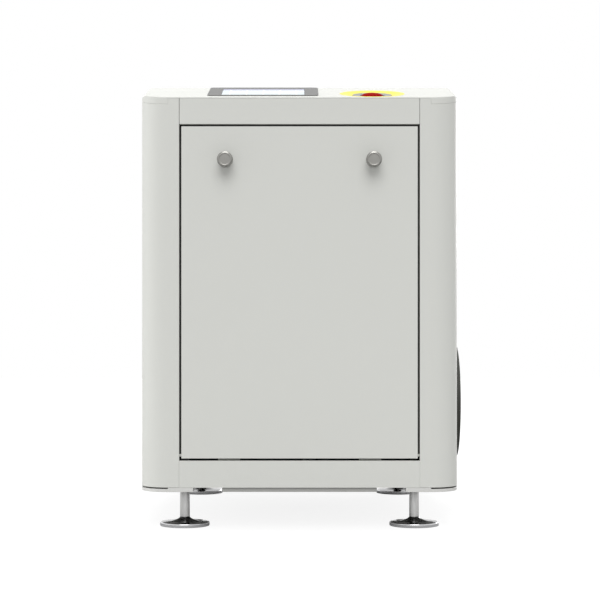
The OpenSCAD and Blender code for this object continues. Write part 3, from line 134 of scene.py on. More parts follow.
def grained(name, colour, roughness, size, share, depth, detail=2.0, metallic=0.0, **more):
    """A skin whose tone wanders by a share over grains of one size and clouds 200 mm wide, with
    the grains in relief."""
    material, tree, shader, coords = surface(name, colour, roughness, metallic, **more)
    grain = add(tree, "TexNoise", {"Vector": coords, "Scale": 1 / size, "Detail": detail,
                                   "Roughness": 0.6})
    cloud = add(tree, "TexNoise", {"Vector": coords, "Scale": 1 / (200 * MM), "Detail": 3.0})
    both = add(tree, "Math", {0: grain.outputs[0], 1: cloud.outputs[0]}, operation="ADD")
    mean = add(tree, "Math", {0: both.outputs[0], 1: 0.5}, operation="MULTIPLY")
    dark, light = dimmed(colour, 1 - share), dimmed(colour, 1 + share / 3)
    tint = layered(tree, dark, (mean.outputs[0], light))
    worked(tree, shader, tint, grain.outputs[0], depth)
    return material


def powder_coat(name, colour):
    """Polyester powder coat on steel sheet: an even satin skin with a fine orange peel. The real
    peel is about 1 mm wide, and is drawn 3 mm wide so that it shows."""
    return grained(name, colour, roughness=0.5, size=3 * MM, share=0.02, depth=0.02 * MM)


def moulded_plastic(name, colour, roughness=0.45, **more):
    """Spark-eroded ABS, polyamide or polycarbonate: a dense, even grain that breaks up the
    highlights. The real grain is about 0.2 mm, and is drawn 1.2 mm wide so that it shows."""
    return grained(name, colour, roughness, size=1.2 * MM, share=0.05, depth=0.02 * MM, **more)


def soft_rubber(name, colour):
    """Matt EPDM with a dusty bloom in patches a few millimetres wide."""
    return grained(name, colour, roughness=0.8, size=4 * MM, share=0.35, depth=0.06 * MM)


def open_foam(name, colour):
    """Open-cell polyurethane foam: a sponge of cells. The real cells are about 1 mm, and are
    drawn 4 mm wide. Each cell is painted darker in its hollow and lighter towards its walls:
    painted shade in the pores."""
    material, tree, shader, coords = surface(name, colour, roughness=0.95)
    pore_depth_and_painted_shade = add(tree, "TexVoronoi", {"Vector": coords, "Scale": 1 / (4 * MM)}).outputs["Distance"]
    # The tone follows the pores' depth, down to 0.35 in each hollow: painted shade
    tint = layered(tree, dimmed(colour, 0.35), (pore_depth_and_painted_shade, dimmed(colour, 1.5)))
    worked(tree, shader, tint, pore_depth_and_painted_shade, 1.5 * MM)
    return material


def plated_steel(name, colour):
    """Bright zinc plating on cold-rolled sheet: soft crystals about 14 mm wide and a faint rolling
    grain along X, 12 times as long as it is wide."""
    material, tree, shader, coords = surface(name, colour, roughness=0.36, metallic=1.0)
    crystals = {"Vector": coords, "Scale": 1 / (14 * MM)}
    spangle = add(tree, "TexVoronoi", crystals, feature="SMOOTH_F1").outputs["Distance"]
    stretched = add(tree, "Mapping", {"Vector": coords, "Scale": (1.0, 12.0, 12.0)}).outputs[0]
    rolled = add(tree, "TexNoise", {"Vector": stretched, "Scale": 1 / (20 * MM), "Detail": 3.0})
    tint = layered(tree, dimmed(colour, 0.82), (spangle, dimmed(colour, 1.05)))
    worked(tree, shader, tint, rolled.outputs[0], 0.04 * MM)
    return material


def cast_metal(name, colour, roughness, metallic):
    """A sand-cast skin: grains with soft hollows. Real sand is about 0.5 mm, and is drawn 2.2 mm
    wide."""
    return grained(name, colour, roughness, size=2.2 * MM, share=0.2, depth=0.12 * MM, detail=4.0,
                   metallic=metallic)


def turned_metal(name, colour, roughness, pitch):
    """Lathe-turned metal: rings one pitch apart along the piece's own UV, where v is the length of
    its profile. A real tool's feed is about 0.1 mm, and is drawn wider so that it shows."""
    material, tree, shader, _ = surface(name, colour, roughness, metallic=1.0, Anisotropic=0.4)
    along = add(tree, "TexCoord").outputs["UV"]
    rings = add(tree, "TexWave", {"Vector": along, "Scale": WAVE_PERIOD / pitch, "Distortion": 0.4,
                                  "Detail": 1.0}, bands_direction="Y").outputs["Fac"]
    tint = layered(tree, dimmed(colour, 0.86), (rings, dimmed(colour, 1.04)))
    worked(tree, shader, tint, rings, 0.02 * MM)
    return material


def banded(name, colour, roughness, pitch, axis, depth):
    """Metal sheets or strands laid side by side along one axis, with a groove every pitch and the
    colour darkening down to half towards each groove: a dark joint between sheets, and painted
    shade in the crease between strands. Real sheets and strands are 0.5 to 1 mm, and are drawn
    about 1.5 mm wide."""
    material, tree, shader, coords = surface(name, colour, roughness, metallic=1.0)
    wave = {"Vector": coords, "Scale": WAVE_PERIOD / pitch}
    grooves_and_painted_shade = add(tree, "TexWave", wave, bands_direction=axis).outputs["Fac"]
    # Darker down to half towards each groove: dark joints between sheets, painted shade between
    # strands
    worked(tree, shader, layered(tree, dimmed(colour, 0.5), (grooves_and_painted_shade, colour)), grooves_and_painted_shade, depth)
    return material


def chrome_plate(name, colour, satin, rim, cone):
    """Bright chrome on steel: a near mirror with a slight waviness about 30 mm long from the
    buffing wheel, and smudges. Over the rim's height the pad's cone is painted darker, its colour
    cut to 0.11: a painted reflection of a dark room. Over the cone's height it is satin, as a
    drawn stem is."""
    mirror, drawn = 0.07, 0.35
    material, tree, shader, coords = surface(name, colour, mirror, metallic=1.0)
    waves, smudge = (
        add(tree, "TexNoise", {"Vector": coords, "Scale": 1 / size, "Detail": detail}).outputs[0]
        for size, detail in ((30 * MM, 1.0), (12 * MM, 4.0)))
    level = add(tree, "SeparateXYZ", {0: coords}).outputs["Z"]
    painted_dark_reflection, over_cone = (
        add(tree, "Math", {0: level, 1: height}, operation="GREATER_THAN").outputs[0]
        for height in (rim, cone))
    # Over the rim's height the colour is cut to 0.11: a painted dark reflection on the pad's cone
    tint = layered(tree, dimmed(colour, 0.93), (smudge, colour), (painted_dark_reflection, dimmed(colour, 0.11)),
                   (over_cone, satin))
    worked(tree, shader, tint, waves, 0.05 * MM)
    dull = add(tree, "Math", {0: over_cone, 1: drawn - mirror, 2: mirror}, operation="MULTIPLY_ADD")
    tree.links.new(dull.outputs[0], shader.inputs["Roughness"])
    return material


def touch_display(name, centre, angle, width, height):
    """A lit LCD under glass: a white ground with pale tiles, one violet bar along the far edge and
    one grey-green bar along the near edge. Its own x and y run from -0.5 to 0.5 over it."""
    far_bar, near_bar = 0.28, -0.42
    ground = tone("#eff1f1")
    glow = {"Emission Strength": 0.1}
    material, tree, shader, coords = surface(name, ground, roughness=0.12, **glow)
    local = add(tree, "Mapping", {
        "Vector": coords, "Location": centre, "Rotation": (angle, 0, 0),
        "Scale": (width, height, 1),
    }, vector_type="TEXTURE").outputs[0]
    tiles = add(tree, "TexBrick", {
        "Vector": local, "Scale": 1.0, "Brick Width": 0.2, "Row Height": 0.22, "Mortar Size": 0.012,
        "Color1": tone("#d0dde4"), "Color2": tone("#bdd0da"), "Mortar": ground,
    }, offset=0.0)
    up = add(tree, "SeparateXYZ", {0: local}).outputs["Y"]
    far = add(tree, "Math", {0: up, 1: far_bar}, operation="GREATER_THAN").outputs[0]
    near = add(tree, "Math", {0: up, 1: near_bar}, operation="LESS_THAN").outputs[0]
    picture = layered(tree, tiles.outputs["Color"], (far, tone("#7476a4")), (near, tone("#8fa3a3")))
    tree.links.new(picture, shader.inputs["Base Color"])
    tree.links.new(picture, shader.inputs["Emission Color"])
    return material


# Shapes

def shape(name, points, faces, uvs=None, crisp=CRISP_ANGLE):
    """A mesh object at the origin from points and blocks of corner indices. The signed volume, a
    sum of a . (b x c) over its triangles, says whether its faces must turn to point outward."""
    points = points.reshape(-1, 3)
    mesh = bpy.data.meshes.new(name)
    mesh.from_pydata(points, [], [face for block in faces for face in block.tolist()])
    if uvs is not None:
        mesh.uv_layers.new(name="UVMap").data.foreach_set("uv", uvs.ravel())
    mesh.calc_loop_triangles()
    corners = np.empty(len(mesh.loop_triangles) * 3, np.int32)
    mesh.loop_triangles.foreach_get("vertices", corners)
    a, b, c = points[corners.reshape(-1, 3)].transpose(1, 0, 2)
    if np.einsum("ij,ij->i", a - points.mean(0), np.cross(b - a, c - a)).sum() < 0:
        mesh.flip_normals()
    mesh.shade_smooth()
    mesh.set_sharp_from_angle(angle=crisp)
    made = bpy.data.objects.new(name, mesh)
    bpy.context.scene.collection.objects.link(made)
    return made


def cells(rows, cols, closed_rows=False, closed_cols=False, count=1):
    """Corner indices of the cells of a rows by cols grid, whose last row or column may join its
    first, or of a batch of several such grids."""
    i = np.arange(rows if closed_rows else rows - 1)[:, None]
    j = np.arange(cols if closed_cols else cols - 1)[None, :]
    i_next, j_next = (i + 1) % rows, (j + 1) % cols
    corners = [i * cols + j, i * cols + j_next, i_next * cols + j_next, i_next * cols + j]
    start = np.arange(count)[:, None, None] * rows * cols
    return (start + np.stack(corners, -1).reshape(-1, 4)).reshape(-1, 4)


def rounded(profile, radius, steps=5, closed=False):
    """Each corner p of a profile becomes the curve (1-t)^2 a + 2t(1-t) p + t^2 b between points a
    and b on its two sides, radius away or a third of the side where that is less. One more point
    1.3 times as far away on each side keeps the shading of the flats even."""
    widest, guard = 0.33, 1.3
    p = np.asarray(profile, float)
    ring = np.concatenate([p[-1:], p, p[:1]]) if closed else p
    mid, back, on = ring[1:-1], ring[:-2] - ring[1:-1], ring[2:] - ring[1:-1]
    reach = [np.minimum(radius / np.linalg.norm(side, axis=1, keepdims=True), widest) * side
             for side in (back, on)]
    t = np.linspace(0, 1, steps)[None, :, None]
    a, b = ((mid + r)[:, None] for r in reach)
    curve = (1 - t) ** 2 * a + 2 * t * (1 - t) * mid[:, None] + t ** 2 * b
    before, after = ((mid + guard * r)[:, None] for r in reach)
    body = np.concatenate([before, curve, after], 1).reshape(-1, 2)
    return body if closed else np.concatenate([p[:1], body, p[-1:]])


def square_to(axis):
    """An axis as a unit vector, and two unit vectors square to it and to each other."""
    axis = Vector(axis).normalized()
    first = axis.orthogonal().normalized()
    return np.array(axis), np.array(first), np.array(axis.cross(first))


def turned(name, profile, origin, axis, steps=96, closed=False, flutes=(0, 0.0, 0.0, 0.0)):
    """A profile of (radius, height) turned round an axis: origin + r cos(a) u + r sin(a) v +
    h axis. Ends on the axis become one pole each. Flutes of (number, depth, lowest, highest) press
    r in by depth (1 - cos(number a)) / 2 between two heights."""
    axis, u, v = square_to(axis)
    a = np.arange(steps) * 2 * np.pi / steps
    inner = profile if closed else profile[1:-1]
    r, h = inner[:, 0][:, None], inner[:, 1][:, None]
    number, depth, lowest, highest = flutes
    r = r - ((h > lowest) & (h < highest)) * depth * (1 - np.cos(number * a)) / 2
    round_axis = r[..., None] * (np.cos(a)[:, None] * u + np.sin(a)[:, None] * v)
    grid = np.asarray(origin) + round_axis + h[..., None] * axis
    rows = len(inner)
    quads = cells(rows, steps, closed, True)

    # A quad's UV: u is the share of the turn, and v the length along the profile
    length = np.concatenate([[0], np.cumsum(np.linalg.norm(np.diff(inner, axis=0), axis=1))])
    low, high = quads[:, 0], quads[:, 2]
    left, right = (low % steps) / steps, (low % steps + 1) / steps
    v0, v1 = length[low // steps], length[high // steps]
    uvs = [np.stack([left, v0, right, v0, right, v1, left, v1], -1).reshape(-1, 2)]
    points, faces = [grid.reshape(-1, 3)], [quads]
    if not closed:
        j, j_next = np.arange(steps), (np.arange(steps) + 1) % steps
        first, last = rows * steps, rows * steps + 1
        top = (rows - 1) * steps
        faces += [np.stack([np.full(steps, first), j_next, j], -1),
                  np.stack([np.full(steps, last), top + j, top + j_next], -1)]
        points.append(np.asarray(origin) + profile[[0, -1], 1][:, None] * axis)
        for end in (profile[1], profile[-2]):
            uvs.append(np.tile([[0.5, end[0]], [0, 0], [0, 0]], (steps, 1)))
    return shape(name, np.concatenate(points), faces, np.concatenate(uvs))


def lofted(name, rings, crisp):
    """Closed rings of points joined one after another, with flat ends, for a batch of like bodies.
    The points have the shape (count, rows, cols, 3)."""
    count, rows, cols = rings.shape[:3]
    start = np.arange(count)[:, None, None] * rows * cols
    edge = np.arange(cols)
    ends = np.stack([edge[::-1], (rows - 1) * cols + edge])
    faces = [cells(rows, cols, closed_cols=True, count=count), (start + ends).reshape(-1, cols)]
    return shape(name, rings, faces, crisp=crisp)


def settle(piece, *nodes, body=None, slot=None):
    """Gives a new piece its body and its material slot with that slot's finish, and hides the
    CAD nodes that it stands for."""
    slot = slot or SLOT_OF[nodes[0]]
    piece.data.materials.append(finish_of(slot))
    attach(piece, body or BODY_OF[nodes[0]])
    if nodes:
        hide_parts(*nodes)


def soften(width, *nodes, segments=2):
    """Lets a merged copy stand for each CAD node, with its flat triangles joined and a Bevel on
    its sharp edges."""
    same_place, flat_angle = 0.001 * MM, math.radians(0.3)
    for node in nodes:
        mesh = bpy.data.meshes.new(node + "_soft")
        sheet = bmesh.new()
        sheet.from_mesh(NODES[node].data)
        bmesh.ops.remove_doubles(sheet, verts=sheet.verts, dist=same_place)
        bmesh.ops.dissolve_limit(sheet, verts=sheet.verts, edges=sheet.edges,
                                 angle_limit=flat_angle)
        sheet.to_mesh(mesh)
        sheet.free()
        for attribute in [a for a in mesh.attributes if a.name == "custom_normal"]:
            mesh.attributes.remove(attribute)
        mesh.materials.clear()
        mesh.shade_smooth()
        mesh.set_sharp_from_angle(angle=BEVEL_ANGLE)
        piece = bpy.data.objects.new(node + "_soft", mesh)
        bpy.context.scene.collection.objects.link(piece)
        if width:
            bevel = piece.modifiers.new("edges", "BEVEL")
            bevel.width, bevel.segments, bevel.limit_method = width, segments, "ANGLE"
            bevel.angle_limit = BEVEL_ANGLE
            bevel.use_clamp_overlap = False
            bevel.harden_normals = True
        settle(piece, node)


def corner_box(node):
    """The low and the high corner of a CAD node as arrays."""
    return tuple(np.array(corner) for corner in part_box(node))


# Places of the cabinet's front and back, and sizes that are repeated from the part's source

FRONT_Y = corner_box("lower_front_rail")[0][1]
REAR_Y = corner_box("rear_panel")[1][1]
FRONT_TOP_Z = 773 * MM
SLOPE_RISE, SLOPE_RUN = 35.5, 168
SLOPE = math.atan(SLOPE_RISE / SLOPE_RUN)
UP_SLOPE = (0.0, -math.sin(SLOPE), math.cos(SLOPE))
DISCHARGE_Z = 212 * MM
BLOWER_Z = 305 * MM


def on_slope(x, s, h):
    """The point at x, s up the console's slope and h above it. The slope's direction is the (cos,
    sin) of its angle."""
    return np.array([x, FRONT_Y + s * math.cos(SLOPE) - h * math.sin(SLOPE),
                     FRONT_TOP_Z + s * math.sin(SLOPE) + h * math.cos(SLOPE)])


SCREEN_PLACE = on_slope(-66 * MM, 83.8 * MM, 1.5 * MM)
SCREEN_SIZE = (150 * MM, 111 * MM)
STOP_PLACE = on_slope(132 * MM, 62 * MM, 0.0)


class AerationSizes(bpy.types.PropertyGroup):
    """Sizes that a user may change without touching the CAD model"""
    sheet_edge: FloatProperty(
        name="Sheet edge", description="Radius on the edges of the sheet metal",
        default=0.7 * MM, min=0.1 * MM, max=0.95 * MM, unit="LENGTH")
    cast_edge: FloatProperty(
        name="Cast edge", description="Radius on the edges of castings and the frame",
        default=1.2 * MM, min=0.2 * MM, max=2 * MM, unit="LENGTH")
    plastic_edge: FloatProperty(
        name="Plastic edge", description="Radius on the edges of moulded parts",
        default=1.0 * MM, min=0.2 * MM, max=2 * MM, unit="LENGTH")
    thread_pitch: FloatProperty(
        name="Thread pitch", description="Pitch of the levelling stems' thread",
        default=2.5 * MM, min=1 * MM, max=4 * MM, unit="LENGTH")
    fan_blades: IntProperty(
        name="Fan blades", description="Number of blades of the cooling fan",
        default=7, min=3, max=11)


def paint(name, code, description):
    """A colour property with a hex default."""
    return FloatVectorProperty(name=name, description=description, default=tone(code), size=4,
                               min=0.0, max=1.0, subtype="COLOR")


class AerationColours(bpy.types.PropertyGroup):
    """Colours of the finishes that show"""
    cabinet: paint("Cabinet", "#d8d9d4", "Powder coat of the cabinet")
    plates: paint("Corner plates", "#d7d7d4", "Powder coat of the plates over the feet")
    # The bottom sheet's grey is its paint, darker than the cabinet's so that it also stands for the
    # shade under the cabinet's lower edge: partly painted shade
    bottom: paint("Bottom sheet", "#a9a9a6", "Powder coat of the bottom sheet")
    frame: paint("Frame", "#45484b", "Powder coat of the frame")
    bezel: paint("Bezel", "#787877", "Plastic of the touch screen's case")
    warning: paint("Warning ring", "#f5e43c", "Plastic of the emergency stop's ring")
    red: paint("Signal red", "#960f0d",
               "Plastic of the emergency stop's head and the isolator's handle")
    collar: paint("Collar", "#8f9192", "Plastic of the emergency stop's collar")
    knob: paint("Knob", "#969591", "Turned metal of the knobs")
    flange: paint("Flange", "#31322c", "Paint of the discharge flange and the check valve")


class AerationFinishes(bpy.types.Operator):
    """Make the finishes and put them on every CAD node"""
    bl_idname = "aeration.finishes"
    bl_label = "Finishes"

    def execute(self, context):
        c = context.scene.aeration_colours
        # A low specular level keeps the backdrop's glare off two plastics seen at a low angle
        bezel_gloss = {"Specular IOR Level": 0.1}
        red_gloss = {"Specular IOR Level": 0.02}
        made = {
            "frame_paint": powder_coat("powder_coat_graphite", tuple(c.frame)),
            "corner_plate": powder_coat("powder_coat_pale", tuple(c.plates)),
            # Bottom sheet: its own grey paint, and partly painted shade under the cabinet's edge
            "floor_sheet": powder_coat("powder_coat_grey_and_painted_shade", tuple(c.bottom)),
            "cabinet_paint": powder_coat("powder_coat_light_grey", tuple(c.cabinet)),
            "seal_rubber": soft_rubber("epdm_rubber", tone("#5a5b59")),
            "foam": open_foam("acoustic_foam_charcoal", tone("#3c3d3f")),
            "zinc_steel": plated_steel("zinc_plated_steel", tone("#c2c5c7")),
            "satin_metal": turned_metal("turned_stainless_satin", tuple(c.knob), 0.34,
                                        pitch=1.2 * MM),
            "screen_plastic": moulded_plastic("abs_bezel_grey", tuple(c.bezel), **bezel_gloss),
            "screen_glass": touch_display("lcd_under_glass", SCREEN_PLACE, SLOPE, *SCREEN_SIZE),
            "estop_yellow": moulded_plastic("polycarbonate_yellow", tuple(c.warning), 0.35),
            "estop_grey": moulded_plastic("polyamide_grey", tuple(c.collar)),
            "dark_plastic": moulded_plastic("polyamide_black", tone("#25272a")),
            "signal_red": moulded_plastic("polyamide_red", tuple(c.red), 0.6, **red_gloss),
            "foot_chrome": chrome_plate("chrome_plated_steel", tone("#e6e6e8"), tone("#c6c6c5"),
                                        rim=7.14 * MM, cone=17 * MM),
            "cast_aluminium": cast_metal("sand_cast_aluminium", tone("#b4b6b8"), 0.5, metallic=1.0),
            "shaft_steel": turned_metal("ground_steel", tone("#b9babc"), 0.25, pitch=0.8 * MM),
            "lamination": banded("stacked_laminations", tone("#6d7075"), 0.5,
                                 pitch=1.5 * MM, axis="Y", depth=0.1 * MM),
            "copper": banded("enamelled_copper", tone("#b5622f"), 0.35,
                             pitch=1.6 * MM, axis="DIAGONAL", depth=0.3 * MM),
            "bronze": cast_metal("bearing_bronze", tone("#b08d4f"), 0.35, metallic=1.0),
            "filter_paper": grained("pleated_filter_paper", tone("#e9e6da"), 0.9,
                                    size=1.5 * MM, share=0.08, depth=0.05 * MM),
            "dark_cast": cast_metal("painted_casting_dark", tuple(c.flange), 0.55, metallic=0.0),
            "drive_grey": moulded_plastic("polycarbonate_dark_grey", tone("#4b4e52")),
            "module_grey": moulded_plastic("polyamide_light_grey", tone("#cfcfca")),
        }
        names = {slot: material.name for slot, material in made.items()}
        context.scene["aeration_finishes"] = names
        for node, piece in NODES.items():
            if not piece.material_slots:
                piece.data.materials.append(made[SLOT_OF[node]])
            for held in piece.material_slots:
                held.link = "OBJECT"
                held.material = made[SLOT_OF[node]]
        return {"FINISHED"}


def finish_of(slot):
    """The material that was made for a slot."""
    return bpy.data.materials[bpy.context.scene["aeration_finishes"][slot]]


class AerationCabinet(bpy.types.Operator):
    """Round the edges of the cabinet's sheets and the plates under them"""
    bl_idname = "aeration.cabinet"
    bl_label = "Cabinet"

    def execute(self, context):
        soften(context.scene.aeration_sizes.sheet_edge,
               "left_side_shell", "right_side_shell", "header_strip", "top_cover", "rear_panel",
               "intake_hood", "front_panel", "corner_plates", "floor_panel", "cabinet_screws")
        soften(0.0, "lower_front_rail")
        return {"FINISHED"}


class AerationLouvres(bpy.types.Operator):
    """Press a scoop over each slot of the rear panel"""
    bl_idname = "aeration.louvres"
    bl_label = "Rear louvres"

    def execute(self, context):
        count, pitch, slot_h, length, out = 8, 22 * MM, 8 * MM, 130 * MM, 6 * MM
        rows, cols = 41, 9
        side_lap, top_lap, wall_t, off_panel = 2 * MM, 3 * MM, 1.2 * MM, 0.2 * MM
        over_slot = slot_h * 0.1
        # u runs along the slot, which lies from x = -length to 0. a runs from the lower lip to the
        # upper edge: the scoop stands out by cos(a) and rises by sin(a). It falls off towards both
        # ends as the root of 1 - u^8
        u = np.linspace(-1, 1, rows)[None, :, None]
        a = np.linspace(0, np.pi / 2, cols)[None, None, :]
        foot = BLOWER_Z - pitch * np.arange(count)[:, None, None]
        lip = np.clip(1 - np.abs(u) ** 8, 0, 1) ** 0.5
        x = -length / 2 + u * (length / 2 + side_lap)
        y = REAR_Y + off_panel + out * lip * np.cos(a)
        z = foot + over_slot + (slot_h + top_lap) * np.sin(a)
        points = np.stack(np.broadcast_arrays(x, y, z), -1)
        faces = [cells(rows, cols, count=count)]
        scoops = shape("rear_louvre_scoops", points, faces, crisp=math.radians(60))
        wall = scoops.modifiers.new("wall", "SOLIDIFY")
        wall.thickness, wall.offset = wall_t, -1
        settle(scoops, body="cabinet", slot="cabinet_paint")
        return {"FINISHED"}


class AerationKnobs(bpy.types.Operator):
    """Turn the two knobs with their spindles and squeeze plates"""
    bl_idname = "aeration.knobs"
    bl_label = "Knobs"

    def execute(self, context):
        # Millimetres: the profile's radii, then its heights over the door
        knob_r, collar_r, neck_r, spindle_r, plate_r = 14, 9.6, 8.4, 4, 8.7
        gap, collar_top, plate_t, chamfer = 0.1, 2.4, 3, 1.6
        for node in ("left_knob", "right_knob"):
            low, high = corner_box(node)
            out, inward = (FRONT_Y - low[1]) / MM, (high[1] - FRONT_Y) / MM
            neck_top, face = out * 0.35, out - 0.3
            recess = face - 0.6
            profile = rounded([
                (0, -inward), (plate_r, -inward), (plate_r, plate_t - inward),
                (spindle_r, plate_t - inward), (spindle_r, gap), (collar_r, gap),
                (collar_r, collar_top), (neck_r, collar_top + 1), (neck_r, neck_top),
                (knob_r - chamfer, neck_top), (knob_r, neck_top + chamfer), (knob_r, out - 3),
                (knob_r - 2.6, face), (knob_r - 4, face), (knob_r - 4.6, recess), (0, recess),
            ], 0.5) * MM
            centre = ((low[0] + high[0]) / 2, FRONT_Y, (low[2] + high[2]) / 2)
            settle(turned(node + "_turned", profile, centre, (0, -1, 0), steps=120), node)
        return {"FINISHED"}


class AerationScreen(bpy.types.Operator):
    """Round the touch screen's case and lay the display in it"""
    bl_idname = "aeration.screen"
    bl_label = "Touch screen"

    def execute(self, context):
        soften(context.scene.aeration_sizes.plastic_edge, "screen_case", segments=3)
        soften(0.4 * MM, "screen_glass")
        return {"FINISHED"}


class AerationStop(bpy.types.Operator):
    """Turn the emergency stop's ring, collar, plunger and mushroom head"""
    bl_idname = "aeration.emergency_stop"
    bl_label = "Emergency stop"

    def execute(self, context):
        # Millimetres: radii from the stop's axis, and heights over the slope
        ring_r, lip_r, dish_r, shelf_r, shelf = 59, 54, 36, 32, -4.6
        ring = rounded([
            (lip_r, 0.03), (ring_r, 0.03), (ring_r, 0.2), (ring_r - 0.8, 0.4), (lip_r, 0.4),
            (dish_r, -3), (dish_r, shelf), (shelf_r, shelf), (shelf_r, shelf - 2.5),
            (dish_r, shelf - 2.5), (lip_r, -2.5),
        ], 0.6, closed=True) * MM
        settle(turned("estop_warning_ring", ring, STOP_PLACE, UP_SLOPE, steps=144, closed=True),
               "estop_ring")

        bore_r, cup_r, rim_r, neck_r, case_r = 8, 22.5, dish_r - 0.3, shelf_r - 0.3, 16
        cup_floor, under_rim, case_top, case_end = -12, shelf + 0.03, -16, -36
        collar = rounded([
            (bore_r, cup_floor), (cup_r, cup_floor), (cup_r, -3.4), (cup_r + 1, -2.8),
            (rim_r - 0.8, -1.7), (rim_r, -2.4), (rim_r, under_rim), (neck_r, under_rim),
            (neck_r, case_top), (case_r, case_top), (case_r, case_end), (bore_r, case_end),
        ], 0.6, closed=True) * MM
        settle(turned("estop_collar_moulded", collar, STOP_PLACE, UP_SLOPE, steps=120, closed=True),
               "estop_collar")
        soften(0.4 * MM, "estop_plunger")

        # The crown's radius follows cos(a), and its height sin(a)^0.9
        head_r, crown_z, crown_h, head_z = 20, 2.2, 6.2, -6.7
        a = np.linspace(0, np.pi / 2, 14)[1:]
        crown = np.stack([head_r * np.cos(a), crown_z + crown_h * np.sin(a) ** 0.9], -1)
        lower = rounded([(0, 2.5), (4.7, 2.5), (4.7, 0.3), (6, 0), (head_r - 2.4, 0),
                         (head_r, crown_z), (head_r, crown_z + 0.2)], 0.8)
        head = (np.concatenate([lower, crown]) + [0, head_z]) * MM
        head[-1, 0] = 0
        flutes = (24, 0.35 * MM, -6.2 * MM, -3.8 * MM)
        settle(turned("estop_mushroom", head, STOP_PLACE, UP_SLOPE, steps=120, flutes=flutes),
               "estop_head")
        return {"FINISHED"}


class AerationFeet(bpy.types.Operator):
    """Turn the four levelling feet: pad, flared cone and threaded stem"""
    bl_idname = "aeration.feet"
    bl_label = "Levelling feet"

    def execute(self, context):
        pitch = context.scene.aeration_sizes.thread_pitch
        stem_r, rim_top, cone_z, cone_h = 8.85 * MM, 7 * MM, 8.6 * MM, 8.9 * MM
        thread_z, thread_depth, end_h, end_in = 90 * MM, 0.6 * MM, 3 * MM, 1.5 * MM
        for node in ("front_left_foot", "front_right_foot", "rear_left_foot", "rear_right_foot"):
            low, high = corner_box(node)
            pad_r, top = (high[0] - low[0]) / 2, high[2]
            cone_r = pad_r * 0.55
            pad = rounded([(0, 0), (pad_r, 0), (pad_r, rim_top),
                           (cone_r + 2 * MM, cone_z - 0.4 * MM), (cone_r, cone_z)], 1.4 * MM)
            # The cone runs in from the pad to the stem as (1 - t)^2.2, and the thread is a zigzag
            t = np.linspace(0, 1, 20)
            cone = np.stack([stem_r + (cone_r - stem_r) * (1 - t) ** 2.2, cone_z + cone_h * t], -1)
            turns = np.arange(thread_z, top - end_h, pitch / 2)
            thread = np.stack([stem_r - thread_depth * (np.arange(len(turns)) % 2), turns], -1)
            end = rounded([(stem_r, top - end_h), (stem_r - end_in, top), (0, top)], 0.4 * MM)
            profile = np.concatenate([pad[:-1], cone, thread, end])
            centre = ((low[0] + high[0]) / 2, (low[1] + high[1]) / 2, 0)
            settle(turned(node + "_turned", profile, centre, (0, 0, 1)), node)
        soften(0.6 * MM, "foot_lock_nuts")
        return {"FINISHED"}


class AerationDischarge(bpy.types.Operator):
    """Finish the discharge line from the reducer to the flange outside"""
    bl_idname = "aeration.discharge"
    bl_label = "Discharge line"

    def execute(self, context):
        edge = context.scene.aeration_sizes.cast_edge
        soften(edge, "discharge_flange", "check_valve_body", "outlet_reducer")
        soften(0.5 * MM, "check_flap", "blowoff_valve", "blowoff_piston", "blowoff_silencer")

        # Millimetres: the raised face stands 1 over the flange and is let 0.2 into it
        face = rounded([(52, -0.2), (78, -0.2), (78, 1), (52, 1)], 0.3, closed=True) * MM
        centre = (corner_box("discharge_flange")[1][0], 0, DISCHARGE_Z)
        settle(turned("flange_raised_face", face, centre, (1, 0, 0), steps=144, closed=True),
               body="cabinet", slot="shaft_steel")

        # Three waves between the joint's rims: the radius follows 1 - cos(6 pi t)
        bore_r, rim_r, rim_t, valley_r, swing = 51.5 * MM, 74 * MM, 10 * MM, 57.9 * MM, 4 * MM
        low, high = corner_box("rubber_joint")
        length = high[0] - low[0]
        t = np.linspace(0, 1, 61)
        wave_r = valley_r + swing * (1 - np.cos(6 * np.pi * t))
        waves = np.stack([wave_r, rim_t + (length - 2 * rim_t) * t], -1)
        start = [(bore_r, 0), (rim_r, 0), (rim_r, rim_t)]
        end = [(rim_r, length - rim_t), (rim_r, length), (bore_r, length)]
        profile = np.concatenate([start, waves, end])
        centre = (low[0], 0, DISCHARGE_Z)
        settle(turned("rubber_joint_moulded", profile, centre, (1, 0, 0), closed=True),
               "rubber_joint")
        return {"FINISHED"}


